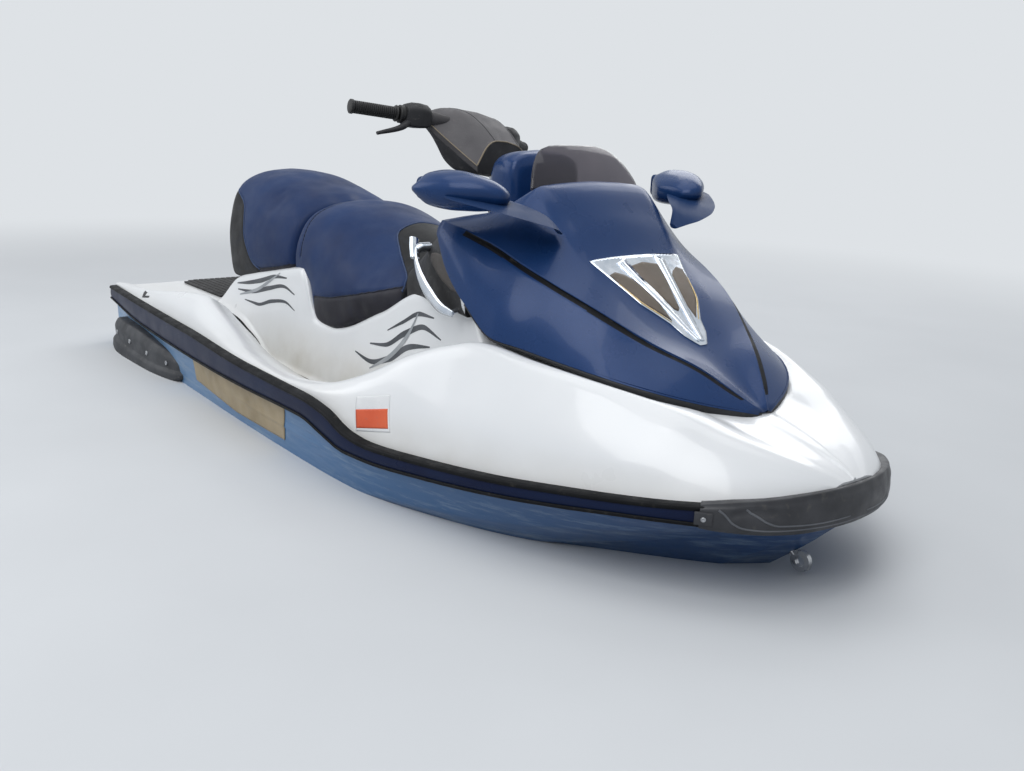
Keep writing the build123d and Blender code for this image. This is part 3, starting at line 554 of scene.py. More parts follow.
def gelcoat():
    """White gelcoat, cool above and creamy with grime low down."""
    material, tree, shader = finish("gelcoat", Coat_Weight=0.5, Coat_Roughness=0.08)
    clean = ramp(tree, speckle(tree, 2.2), 0.3, 0.7, (218, 221, 224), (226, 228, 230))
    dirty = ramp(tree, speckle(tree, 14, 6), 0.35, 0.65, (196, 190, 176), (214, 211, 202))
    low = ramp(tree, along(tree, "Z", 0.10, 0.27), 0.0, 1.0, 0.85, 0.0)
    grime = times(tree, low, ramp(tree, speckle(tree, 5, 4), 0.3, 0.7, 0.45, 1.0))
    specks = ramp(tree, speckle(tree, 160, 2), 0.78, 0.84, 0.0, 0.4)
    base = mixed(tree, specks, mixed(tree, grime, clean, dirty), (150, 140, 125))
    rough = ramp(tree, speckle(tree, 7, 5), 0.3, 0.75, 0.27, 0.35)
    surface(tree, shader, base, rough, speckle(tree, 3.5, 1), 0.002, 0.25)
    return material


def hull_blue():
    """Metallic blue hull paint, more scuffed aft, with painted light aft and painted shade toward the bow."""
    material, tree, shader = finish("hull_blue", Metallic=0.25, Coat_Weight=0.35, Coat_Roughness=0.12)
    aft_light_bow_shade = along(tree, "X", -1.3, 1.4)
    # Painted light and shade: the blue is paler aft and darker toward the bow.
    base = ramp(tree, aft_light_bow_shade, 0.0, 0.55, (106, 144, 182), (76, 122, 168), (1.0, (33, 70, 116)))
    scuff = ramp(tree, speckle(tree, 6, 8, (1, 1, 9), 0.7), 0.52, 0.75, 0.0, 0.65)
    marks = ramp(tree, speckle(tree, 22, 6, (0.5, 1, 5), 0.6), 0.62, 0.70, 0.0, 0.5)
    base = mixed(tree, marks, mixed(tree, scuff, base, (150, 172, 190)), (62, 92, 132))
    rough = ramp(tree, speckle(tree, 9, 6, (1, 1, 6)), 0.3, 0.7, 0.28, 0.55)
    surface(tree, shader, base, rough, speckle(tree, 260, 3), 0.0004, 0.3)
    return material


def layered(name, tones, wear, rough, bump, **sockets):
    """Material of noise layers: two tones, wear over them, roughness and a bump.

    tones and rough: noise, two shares and what they give. wear: the same, and a colour.
    """
    material, tree, shader = finish(name, **sockets)
    base = ramp(tree, speckle(tree, *tones[0]), *tones[1:])
    if wear:
        base = mixed(tree, ramp(tree, speckle(tree, *wear[0]), *wear[1:3], 0.0, wear[3]), base, wear[4])
    pattern, size, depth, strength = bump
    surface(tree, shader, base, ramp(tree, speckle(tree, *rough[0]), *rough[1:]),
            pattern(tree, *size), depth, strength)
    return material


def navy_paint(name, first, second, low, high, **sockets):
    """Navy metallic paint with fine flake."""
    return layered(name, ((1500, 1), 0.35, 0.65, first, second), ((5, 5), 0.45, 0.8, 0.10, (50, 78, 118)),
                   ((12, 5), 0.3, 0.7, low, high), (speckle, (4, 1), 0.0015, 0.15), **sockets)


def rubber(name, first, second, low=0.42, high=0.66, grain=420, shine=0.4):
    """Rubber or foam with worn patches and a fine grain."""
    return layered(name, ((18, 6), 0.3, 0.72, first, second), ((60, 5), 0.6, 0.8, 0.35, (96, 92, 86)),
                   ((30, 4), 0.3, 0.7, low, high), (speckle, (grain, 2), 0.0005, 0.35),
                   Specular_IOR_Level=shine)


def vinyl(name, first, second):
    """Marine vinyl: soft colour drift and leather grain."""
    return layered(name, ((6, 5), 0.3, 0.7, first, second), ((30, 6), 0.55, 0.85, 0.10, (56, 76, 110)),
                   ((16, 4), 0.3, 0.7, 0.42, 0.60), (cells, (520,), 0.0006, 0.45),
                   Specular_IOR_Level=0.18, Sheen_Weight=0.03, Sheen_Roughness=0.5)


def moulded(name, first, second, low=0.45, high=0.65, grain=700, depth=0.0005):
    """Moulded plastic with a fine grain and paler wear."""
    return layered(name, ((10, 6), 0.3, 0.7, first, second),
                   ((42, 8, (1, 1, 2), 0.65), 0.60, 0.78, 0.4, (128, 124, 120)),
                   ((24, 4), 0.3, 0.7, low, high), (cells, (grain,), depth, 0.35), Specular_IOR_Level=0.35)


def metal(name, first, second, low, high, scale=30, depth=0.0002):
    """Bare or plated metal with smudges."""
    return layered(name, ((scale, 5), 0.3, 0.7, first, second), None,
                   ((scale * 1.7, 6), 0.3, 0.72, low, high), (speckle, (scale * 8, 3), depth, 0.3),
                   Metallic=1.0)


# Smoked brown acrylic of the shield, hazed by fine scratches.
SMOKE = (((8, 4), 0.3, 0.7, (92, 89, 97), (107, 102, 109)), None,
         ((20, 5), 0.3, 0.7, 0.10, 0.24), (speckle, (300, 2), 0.0002, 0.2))

PAINT = {
    "gelcoat": gelcoat(),
    "hull": hull_blue(),
    "smoke": layered("smoke", *SMOKE, Transmission_Weight=0.8, IOR=1.12, Coat_Weight=0.5,
                     Coat_Roughness=0.05),
    # Navy paint: the paint's own navy, raised a little brighter as painted reflection.
    "navy": navy_paint("navy_paint", (16, 41, 82), (28, 62, 112), 0.24, 0.36, Metallic=0.1,
                       Specular_IOR_Level=0.2, Coat_Weight=0.12, Coat_Roughness=0.05),
    "navy_soft": navy_paint("navy_underside", (24, 44, 78), (34, 58, 98), 0.42, 0.55,
                            Specular_IOR_Level=0.12),
    "band": navy_paint("navy_band", (10, 18, 42), (17, 29, 62), 0.25, 0.40, Specular_IOR_Level=0.12),
    "rubber": rubber("rail_rubber", (22, 23, 26), (36, 37, 41)),
    "lip": rubber("rail_lip", (12, 13, 15), (20, 21, 24), shine=0.12),
    "bumper": rubber("bumper_rubber", (40, 41, 45), (60, 61, 65), 0.34, 0.58),
    # Bumper ridges: the bumper's rubber, painted paler as highlight along the ridges.
    "ridge": rubber("bumper_ridge_painted_highlight", (78, 81, 87), (98, 101, 106), 0.34, 0.5),
    "mat": rubber("mat_foam", (26, 26, 28), (44, 43, 43), 0.6, 0.85, 900),
    "grip": rubber("grip_rubber", (20, 20, 21), (36, 36, 38), 0.5, 0.7),
    "vinyl": vinyl("seat_vinyl", (14, 36, 75), (21, 48, 91)),
    "vinyl_dark": vinyl("seat_vinyl_dark", (28, 28, 36), (38, 37, 46)),
    "vinyl_black": vinyl("seat_vinyl_black", (12, 13, 15), (20, 21, 24)),
    "piping": vinyl("seat_piping", (44, 60, 94), (54, 72, 106)),
    # Seam cords darker than the seat vinyl: painted shade in the sewn grooves.
    "seam_shade": vinyl("seat_seam_painted_shade", (14, 20, 36), (20, 28, 46)),
    "plastic": moulded("dark_plastic", (46, 43, 43), (60, 56, 55)),
    "cover": moulded("cover_grey", (80, 79, 82), (95, 93, 95), 0.6, 0.8, 420, 0.0009),
    # Darker grey below the cover's ridge and on its front face: painted shade; the same colour on its seam
    # cords.
    "cover_shade_and_seams": moulded("cover_side_shade_and_seams", (38, 39, 42), (50, 50, 53), 0.6, 0.8, 420, 0.0009),
    # Mid grey band just below the cover's ridge and on its arms: painted half shade.
    "cover_half_shade": moulded("cover_half_shade", (62, 61, 63), (76, 74, 76), 0.6, 0.8, 420, 0.0009),
    "console": moulded("console_black", (24, 24, 26), (34, 34, 36), 0.5, 0.7),
    "housing": moulded("control_housing", (30, 31, 34), (42, 42, 45), 0.5, 0.7),
    # Knee panel patch: the panel's brown-grey, painted lighter as sunlight on it.
    "painted_sun": moulded("knee_painted_sun", (66, 63, 62), (82, 78, 75), 0.6, 0.8),
    # Tan cords along the cover's ridges and front rim: painted highlight on those edges.
    "edge": moulded("cover_edge_painted_highlight", (126, 116, 100), (146, 134, 114), 0.6, 0.8, 420, 0.0004),
    "sponson": moulded("sponson_grey", (44, 46, 50), (64, 66, 70), 0.45, 0.7, 200),
    "inset": moulded("emblem_inset", (74, 64, 54), (96, 84, 72), 0.35, 0.5, 900),
    "tan": moulded("tan_stripe", (150, 135, 108), (172, 156, 128), 0.4, 0.6, 300),
    "graphite": moulded("grey_stripe", (52, 56, 62), (82, 86, 92), 0.3, 0.5, 300),
    "silver": moulded("silver_stripe", (134, 140, 146), (168, 172, 176), 0.3, 0.5, 300),
    "orange": moulded("sticker_orange", (206, 84, 50), (222, 104, 66), 0.35, 0.5, 300),
    "paper": moulded("sticker_white", (214, 216, 218), (230, 231, 232), 0.3, 0.5, 300),
    "dial": moulded("dial_face", (16, 17, 20), (26, 28, 32), 0.2, 0.35, 900),
    "chrome": metal("chrome", (196, 204, 214), (226, 230, 236), 0.06, 0.20),
    "gold": metal("gold_edge", (176, 152, 104), (206, 184, 138), 0.15, 0.3),
    "steel": metal("steel", (150, 152, 156), (190, 192, 194), 0.22, 0.42),
    "alloy": metal("pump_alloy", (120, 122, 126), (158, 160, 162), 0.38, 0.6, 26, 0.0006),
    "bar": metal("bar_black", (30, 30, 32), (48, 48, 50), 0.35, 0.5),
    "engine": metal("engine_metal", (96, 98, 100), (134, 136, 138), 0.4, 0.6),
    "glass": metal("mirror_glass", (206, 210, 214), (222, 226, 230), 0.02, 0.05),
}


# Hull, deck and rails

def deck_skin():
    """White deck with gunwales, footwells, pedestal and nose."""
    xs = stations(DECK, 15, extra=(BIN_START, BIN_END))
    rings = []
    for row, hull in zip(rows_at(DECK, xs), rows_at(HULL, xs)):
        x, ky, kz, cy, cz, ey, ez, fo, fi, fz, sy, sz, ty, tz = row
        flange, high = hull[8], hull[10]
        bin_y = min(BIN_HALF, ty * 0.7)
        nose = tz + 4 * share_of(x, 2700, 100)
        half = rounded([
            (flange - 8, high - 24, 0), (flange - 8, high - 2, 2), (flange - 6, high - 1, 3),
            (ky, kz, 70), (cy, cz, 46), (ey, ez, 16), (fo, fz, 20), (fi, fz, 18),
            (sy, sz, 26), (ty, tz, 20), (bin_y, tz, 0), (bin_y * 0.5, nose, 30), (0, nose, 0)])
        rings.append([(x, y, z) for y, z in whole(half)])

    def over_bin(centre):
        return BIN_START < centre[0] < BIN_END and abs(centre[1]) < BIN_HALF and centre[2] > BIN_RIM_Z

    return skin("deck_skin", [rings], "gelcoat", CRAFT, "gelcoat_white", "deck", caps=True, sharp=40,
                drop=over_bin)


def cut_away(made, boxes):
    """Cuts boxes, given by corner planes, out of a closed piece."""
    cutters = []
    for k, (x0, x1, y0, y1, z0, z1) in enumerate(boxes):
        corners = [(x, y, z) for x in (x0, x1) for y in (y0, y1) for z in (z0, z1)]
        faces = [(0, 1, 3, 2), (4, 6, 7, 5), (0, 4, 5, 1), (2, 3, 7, 6), (0, 2, 6, 4), (1, 5, 7, 3)]
        cutters.append(piece(f"cutter_{k}", corners, faces, "rubber", CRAFT))
        change = made.modifiers.new("cut", "BOOLEAN")
        change.operation = "DIFFERENCE"
        change.solver = "EXACT"
        change.object = cutters[-1]
    apply_modifiers(made)
    for cutter in cutters:
        bpy.data.objects.remove(cutter)


# Pockets of the hull for the pump, the intake and the bin, as x, y and z from and to.
HULL_POCKETS = (
    (-20, 430, -126, 126, -20, 302),
    (430, 860, -92, 92, -20, 64),
    (2236, 2544, -186, 186, 236, 720),
)


def hull_skin():
    """Blue hull bottom with its keel, strakes, chine and lip."""
    xs = stations(HULL, 24)
    rings = []
    for row, deck in zip(rows_at(HULL, xs), rows_at(DECK, xs)):
        x, keel, sy, sz, cy, cz, ly, lz, flange, low, high = row
        bond = (low + high) / 2
        lid = min(bond - 1, deck[9] - 22)
        half = rounded([
            (0, lid, 0), (flange - 16, lid, 0), (flange - 10, bond, 0), (flange - 6, low + 6, 0),
            (flange - 6, low - 2, 4), (ly, lz, 7), (cy, cz, 9), (cy - 10, cz - 5, 3), (cy - 14, cz, 3),
            (sy + 4, sz, 5), (sy - 6, sz - 4, 4), (0, keel, 0)], 3)
        rings.append([(x, y, z) for y, z in whole(half, 1)])
    made = solid("hull_skin", [rings], "hull", CRAFT, "hull_blue", "hull_bottom", sharp=24)
    cut_away(made, HULL_POCKETS)
    return made


def rail_skins():
    """Side rails: a glossy navy band between two rubber lips."""
    top, low, band = [], [], []
    for row in rows_at(HULL, stations(HULL, 30, high=2870)):
        x, y, lo, hi = row[0], row[8] - 1, row[9], row[10]
        out, back = y + RAIL_WALL, y - 8
        lean = (hi - lo) / 12
        for grid, corners in (
            (top, [(back, hi + 1, 2), (out - 4, hi, 5), (out, hi - 6, 4), (out - 2, hi - 12, 3),
                   (back, hi - 12, 1)]),
            (low, [(back, lo + 10, 1), (out - 2, lo + 10, 3), (out - 1, lo + 5, 4), (out - 6, lo, 4),
                   (back, lo, 1)]),
            (band, [(back, lo + 9, 1), (out - 6, lo + 9, 1), (out - 3, (lo + hi) / 2 - lean, 12),
                    (out - 5, hi - 11, 1), (back, hi - 11, 1)]),
        ):
            grid.append([(x, a, b) for a, b in ring_of(corners)])
    solid("rail_lips", pair(top, low), "lip", CRAFT, "rail_rubber", "rails", sharp=40)
    solid("rail_bands", pair(band), "band", CRAFT, "navy_paint", sharp=40)


# Bumper path. Columns: x, y, low z, high z, from the starboard rail to the bow.
BUMPER = [
    (2866, -311, 399, 452),
    (2890, -293, 397, 457),
    (2915, -270, 396, 462),
    (2960, -214, 394, 468),
    (2990, -158, 394, 474),
    (3010, -98, 396, 478),
    (3020, -40, 398, 480),
    (3022, 0, 398, 480),
]
# Moulded ridges as (share along the bumper from its end, share of its height).
BUMPER_RIDGES = (
    ((0.050, 0.80), (0.066, 0.66), (0.092, 0.36), (0.125, 0.22), (0.20, 0.17), (0.35, 0.15), (0.5, 0.15)),
    ((0.125, 0.78), (0.150, 0.64), (0.185, 0.42), (0.220, 0.31), (0.30, 0.28), (0.46, 0.27)),
)
SCREW_AT = (2872, 306, 425)
RIDGE_RADIUS = 2.5
HOLLOW_DEEP = 4.0


def bumper_skin():
    """Moulded rubber bumper round the bow, with a flowing hollow on each side."""
    path = curve_points(BUMPER + [(x, -y, low, high) for x, y, low, high in reversed(BUMPER[:-1])], 150)
    data = np.array(path)
    plan = np.gradient(data[:, :2], axis=0)
    plan /= np.linalg.norm(plan, axis=1)[:, None]
    rings = []
    for k, (x, y, low, high) in enumerate(path):
        share = k / (len(path) - 1)
        side = min(share, 1 - share)
        tall = high - low
        corners = [(-26, 0, 1), (-8, 0, 5), (-1, 0.16 * tall, 6), (0, 0.5 * tall, 8), (-1, 0.80 * tall, 6),
                   (-5, 0.90 * tall, 3), (-7, 1.02 * tall, 3), (-15, 1.04 * tall, 3), (-26, 1.0 * tall, 1)]
        centre = 0.48 + 0.25 * math.sin((side - 0.05) * 16)
        span = share_of(side, 0.075, 0.02) * share_of(0.26 - side, 0, 0.08)
        ring = []
        for out, up in ring_of(corners, 5):
            near = max(0.0, 1 - abs(up / tall - centre) / 0.20)
            hollow = HOLLOW_DEEP * span * near * near * (3 - 2 * near) if out > -4 else 0.0
            reach = out - hollow
            ring.append((x + plan[k][1] * reach, y - plan[k][0] * reach, low + up))
        rings.append(ring)
    made = solid("bumper_skin", [rings], "bumper", CRAFT, "rail_rubber", "bow_bumper", sharp=50)
    ridges = []
    for marks in BUMPER_RIDGES:
        line = []
        for share, rise in marks:
            k = share * (len(path) - 1)
            x, y, low, high = (float(np.interp(k, range(len(path)), data[:, c])) for c in range(4))
            line.append((x, y, low + rise * (high - low)))
        line = on_surface(made, curve_points(line, 90), -0.6)
        ridges.append(sweep(line, circle(RIDGE_RADIUS, 8), scale=lambda t: 1 - 0.36 * t))
    # The ridges are paler than the bumper: painted highlight.
    solid("bumper_ridges", pair(*ridges), "ridge", CRAFT, "rail_rubber")
    plates, screws = [], []
    for side, _ in SIDES:
        at = (SCREW_AT[0], SCREW_AT[1] * side, SCREW_AT[2])
        plates.append((at, (36, 12, 26), math.degrees(math.atan2(-0.66 * side, 0.75))))
        out = Vector((0.66, 0.75 * side, 0)).normalized()
        screws.append(turned([(0, 5.5), (1.6, 5.2), (2.6, 3.2), (1.2, 0.1)], Vector(at) + out * 6, out, 20))
    blocks("bumper_plates", plates, "bumper", CRAFT, "rail_rubber", ease=2.5)
    skin("bumper_screws", screws, "steel", CRAFT, "steel", closed=True)


# Hood, shield and mirrors

GROOVE_DEEP = 7
GROOVE_WIDE = 16
GROOVE_START, GROOVE_END = 2090, 2740


def hood_outline(x, ey, ez, sy, sz, cy, cz, hy, hz, top):
    """Smooth hood section with its groove below the crease."""
    groove = GROOVE_DEEP * share_of(x, 2060, 120) * share_of(2770 - x, 0, 90)
    run = np.array((sy - cy, sz - cz), float)
    run /= max(np.linalg.norm(run), 1e-6)
    gap = min(GROOVE_WIDE, 0.3 * math.hypot(sy - cy, sz - cz))
    pit = (cy + run[0] * gap * 0.35 - groove, cz + run[1] * gap * 0.35 - groove * 0.4)
    return whole(rounded([
        (ey - 3, ez - 1, 0), (ey, ez, 1.5), (sy, sz, 60), (cy + run[0] * gap, cz + run[1] * gap, 5),
        (*pit, 2), (cy, cz, 3), (hy, hz, 26), (hy * 0.5, (hz + top * 3) / 4, 60), (0, top, 0)]))


def hood_skin():
    """Navy hood with its side fairings and creases; its grooves are painted black as painted shade."""
    rings = rings_of(HOOD, 13, hood_outline)
    made = skin("hood_skin", [rings], "navy", "hood", "navy_paint", "hood_shell", sharp=32)
    table = np.array(rows_at(HOOD, stations(HOOD, 13)))

    def in_groove_shade(x, y, z):
        sy, sz, cy, cz = (float(np.interp(x, table[:, 0], table[:, k])) for k in (3, 4, 5, 6))
        reach = math.hypot(sy - cy, sz - cz)
        down = ((abs(y) - cy) * (sy - cy) + (z - cz) * (sz - cz)) / max(reach, 1e-6)
        return GROOVE_START < x < GROOVE_END and 1 < down < min(GROOVE_WIDE, 0.3 * reach) - 1

    # Painted shade: faces in the groove below the crease take the black lip rubber.
    recolour(made, "lip", in_groove_shade)
    return thicken(made, HOOD_WALL)


def gasket_outline(x, ey, ez, *_):
    """Section of the gasket under the hood's edge, thicker toward the nose."""
    size = 5 + 9 * share_of(x, 2250, 420)
    low = ez - size - 3
    corners = [(ey - 14, ez + 3, 2), (ey - 1, ez - 1, 2), (ey + 1, ez - size * 0.5, 3), (ey - 3, low, 3),
               (ey - 14, low, 2)]
    if ey < 40:
        corners = [(max(a, 2 + k * 0.01), b, c) for k, (a, b, c) in enumerate(corners)]
    return ring_of(corners)


def hood_seals():
    """Black gasket between hood and deck, and rubber along the hood's rear edge."""
    rings = rings_of(HOOD, 20, gasket_outline, low=2165)
    solid("hood_gasket", pair(rings), "rubber", CRAFT, "rail_rubber", "hood_seal")
    path = curve_points([(2014, -338, 906), (2026, -350, 878), (2052, -358, 844), (2086, -364, 806),
                         (2120, -368, 774), (2150, -370, 752)], 50)
    seal = sweep(path, circle(10, 14, 1.2), up=(0.6, 0, 0.8))
    solid("hood_rear_seal", pair(seal), "lip", "hood", "rail_rubber")


# Shield levels. Columns: z, x at the centre, x at the side, half-width.
SHIELD = [
    (1000, 2176, 2150, 184),
    (1012, 2168, 2146, 180),
    (1046, 2146, 2128, 163),
    (1080, 2120, 2106, 134),
    (1094, 2106, 2096, 112),
    (1102, 2097, 2090, 82),
    (1104.5, 2094, 2090, 50),
]


def shield_skin():
    """Smoked shield above the hood."""
    rings = []
    for z, middle, side, half in rows_at(SHIELD, stations(SHIELD, 6)):
        shares = [-1 + 2 * k / 40 for k in range(41)]
        rings.append([(side + (middle - side) * (1 - abs(t) ** 2.4), half * t, z) for t in shares])
    thicken(skin("shield_skin", [rings], "smoke", "hood", "smoke", "windshield", sharp=60), 3.5)


# Mirror stations, starboard. Columns: y, x, z, half-length, half-height.
MIRROR = [
    (-466, 2066, 999, 5, 3),
    (-462, 2069, 999, 20, 9),
    (-452, 2075, 999, 42, 19),
    (-440, 2083, 1000, 59, 28),
    (-425, 2092, 1001, 75, 36),
    (-385, 2118, 1001, 87, 43),
    (-345, 2142, 996, 92, 39),
    (-310, 2160, 990, 69, 28),
    (-292, 2166, 988, 43, 14),
]
MIRROR_BACK = 2050
MIRROR_BOX_Y = -452
# Mirror wing, starboard, outer tip to hood. Columns: y, rear x and z, front x and z, half-thickness.
WING = [
    (-440, 2150, 988, 2178, 982, 2),
    (-400, 2142, 991, 2230, 969, 6),
    (-353, 2146, 990, 2276, 956, 8),
    (-300, 2154, 986, 2306, 941, 9),
    (-250, 2202, 970, 2314, 928, 8),
    (-220, 2246, 950, 2304, 919, 7),
    (-196, 2263, 917, 2290, 909, 7),
]
# Section of the wing as shares of its span and half-thickness, after its rear edge.
WING_SECTION = ((0.25, 0.7, 12), (0.7, 0.45, 14), (1.0, 0.0, 0.4), (0.7, -0.7, 14), (0.25, -1.0, 12))


def mirror_skins():
    """Mirror housings, boxy toward the glass, with their flat wings and rims."""
    bodies = []
    for y, x, z, long, tall in rows_at(MIRROR, stations(MIRROR, 6)):
        square = 1 - 0.5 * share_of(y, MIRROR_BOX_Y, 16)
        ring = []
        for dx, dz in circle(1.0, 40):
            reach = long
            if dx < 0:
                reach = min(long, x - MIRROR_BACK)
                dx = -abs(dx) ** square
                dz = math.copysign(abs(dz) ** square, dz)
            ring.append((x + reach * dx, y, z + tall * dz * (1.15 if dz < 0 else 1.0)))
        bodies.append(ring)
    wings = []
    for y, rear, rear_z, front, front_z, thick in rows_at(WING, stations(WING, 8)):
        span = np.array((front - rear, front_z - rear_z), float)
        rise = np.array((-span[1], span[0])) / max(np.linalg.norm(span), 1e-6) * thick
        corners = [(rear, rear_z, 1)]
        for share, lift, ease in WING_SECTION:
            spot = np.array((rear, rear_z)) + span * share + rise * lift
            corners.append((float(spot[0]), float(spot[1]), ease))
        wings.append([(a, y, b) for a, b in ring_of(corners, 4)])
    outer = ring_of([(-444, 973, 18), (-346, 969, 16), (-346, 1028, 16), (-444, 1025, 18)], 5)
    inner = ring_of([(-435, 980, 8), (-357, 980, 8), (-357, 1017, 8), (-435, 1017, 8)], 5)
    steps = ((2060, outer), (2042, outer), (2041, inner), (2050, inner))
    rim = [[(x, y, z) for y, z in ring] for x, ring in steps]
    solid("mirror_skins", pair(bodies), "navy", "hood", "navy_paint", "mirror_housings", sharp=50)
    solid("mirror_wings", pair(wings), "navy_soft", "hood", "navy_paint", sharp=28)
    skin("mirror_rims", pair(rim), "navy_soft", "hood", "navy_paint", closed=True, sharp=50)


# Seats

# Edges of the black panels, starboard skirt to the centre, and top edges of the dark bands.
BACK_EDGE = [
    (747, -300, 599), (700, -300, 617), (656, -300, 665), (616, -300, 732), (604, -300, 790),
    (588, -290, 836), (548, -280, 866), (500, -260, 882), (462, -225, 888), (440, -150, 892),
    (432, -60, 894), (430, 0, 894),
]
NOSE_EDGE = [
    (1694, -290, 690), (1656, -235, 728), (1586, -200, 762), (1506, -160, 800), (1420, -98, 836),
    (1398, 0, 850),
]
REAR_BAND = [(740, -300, 602), (800, -300, 610), (877, -300, 621), (940, -300, 640), (980, -300, 655)]
FRONT_BAND = [
    (1176, -300, 583), (1197, -300, 586), (1285, -300, 598), (1369, -300, 616), (1526, -300, 668),
    (1615, -300, 712), (1680, -300, 748),
]
ROLL_X = 1062
SKIRT_START = 1172
CROWN_HALF = 120
PANEL_POINTS = 201
SEAM_DEEP, SEAM_WIDE = 4.0, 16.0
CLOTH_FRAMES = 20
CLOTH = {
    "quality": 4, "mass": 0.3, "tension_stiffness": 60, "compression_stiffness": 60, "bending_stiffness": 30,
    "use_pressure": True, "uniform_pressure_force": 3.0, "vertex_group_mass": "held",
}
# Grid, most swell and height held at the foot of each pad, in metres.
CUSHION_GRID = 0.0075
SWELL_CAP = 0.010
REAR_HELD, FRONT_HELD = 0.05, 0.03


def cushion(name, table, node_name):
    """Closed seat form from its stations, a little smaller than the solid."""
    shrink = 6
    middle = (table[0][0] + table[-1][0]) / 2

    def outline(x, ky, kz, by, bz, sy, sz, cy, cz, top):
        return whole(rounded([
            (ky - 30, kz, 0), (ky, kz, 10), (by, bz, 60), (sy, sz, 70), (cy, cz, 60), (0, top, 0)], 5))

    def smaller(x, y, z):
        return middle + (x - middle) * (1 - shrink / 300), y * (1 - shrink / 250), z - shrink

    rings = [[smaller(*point) for point in ring] for ring in rings_of(table, 14, outline)]
    return solid(name, [rings], "vinyl", CRAFT, "seat_vinyl", node_name, sharp=180)


def vertices_of(made, kind="co"):
    """Places or normals of a piece's vertices."""
    return np.array([getattr(v, kind) for v in made.data.vertices], float)


def move_vertices(made, points):
    """Puts a piece's vertices at new places."""
    made.data.vertices.foreach_set("co", points.astype(np.float32).ravel())
    made.data.update()


def inflate(made, pinned_below):
    """Swells a pad by cloth pressure, its lowest part held, each point by at most the cap."""
    work = made.modifiers.new("remesh", "REMESH")
    work.mode = "VOXEL"
    work.voxel_size = CUSHION_GRID
    apply_modifiers(made)
    rest = vertices_of(made)
    low = rest[:, 2].min()
    held = made.vertex_groups.new(name="held")
    held.add([k for k, p in enumerate(rest) if p[2] < low + pinned_below], 1.0, "REPLACE")
    cloth = made.modifiers.new("cloth", "CLOTH")
    for name, value in CLOTH.items():
        setattr(cloth.settings, name, value)
    cloth.settings.effector_weights.gravity = 0
    cloth.collision_settings.use_self_collision = False
    cloth.point_cache.frame_start = 1
    cloth.point_cache.frame_end = CLOTH_FRAMES
    for k in range(1, CLOTH_FRAMES + 1):
        bpy.context.scene.frame_set(k)
    apply_modifiers(made)
    bpy.context.scene.frame_set(1)
    move = vertices_of(made) - rest
    share = np.minimum(1.0, SWELL_CAP / np.maximum(np.linalg.norm(move, axis=1), 1e-9))
    move_vertices(made, rest + move * share[:, None])
    taut = made.modifiers.new("taut", "SMOOTH")
    taut.factor = 0.6
    taut.iterations = 14
    apply_modifiers(made)
    fine = made.modifiers.new("fine", "SUBSURF")
    fine.levels = fine.render_levels = 1
    apply_modifiers(made)
    made.data.shade_smooth()


def sew(made, seam):
    """Presses a seam's groove into a soft piece."""
    line = np.array([tuple(place(p)) for p in seam])
    points, normals = vertices_of(made), vertices_of(made, "normal")
    width = SEAM_WIDE / 1000
    near = np.nonzero(np.all((points > line.min(0) - width) & (points < line.max(0) + width), axis=1))[0]
    gap = np.full(len(near), 1e9)
    for spot in line:
        gap = np.minimum(gap, np.linalg.norm(points[near] - spot, axis=1))
    press = np.clip(1 - gap / width, 0, 1) ** 2 * SEAM_DEEP / 1000
    points[near] -= normals[near] * press[:, None]
    move_vertices(made, points)


def piping(name, made, seams, look, radius=2.6):
    """Sewn piping along seams, half sunk in a pad."""
    lines = [on_surface(made, seam, radius * 0.25) for seam in seams]
    cords = [sweep(line, circle(radius, 8), up=(0.3, 0.1, 1)) for line in lines]
    solid(name, cords, look, CRAFT, "seat_vinyl", sharp=60)


def roll_line():
    """Line over the front pad, skirt to skirt, where its rear roll is sewn."""
    _, ky, kz, by, bz, sy, sz, cy, cz, top = rows_at(FRONT_SEAT, [ROLL_X])[0]
    half = rounded([(ky, kz, 0), (by, bz, 60), (sy, sz, 60), (cy, cz, 60), (0, top, 0)], 8)
    return [(ROLL_X, y, z) for y, z in whole(half)[2:-2]]


def edge_at(line, by, of):
    """Coordinate of a drawn line at a value of another of its coordinates."""
    marks = sorted((p[by], p[of]) for p in line)
    return lambda value: float(np.interp(value, [m[0] for m in marks], [m[1] for m in marks]))


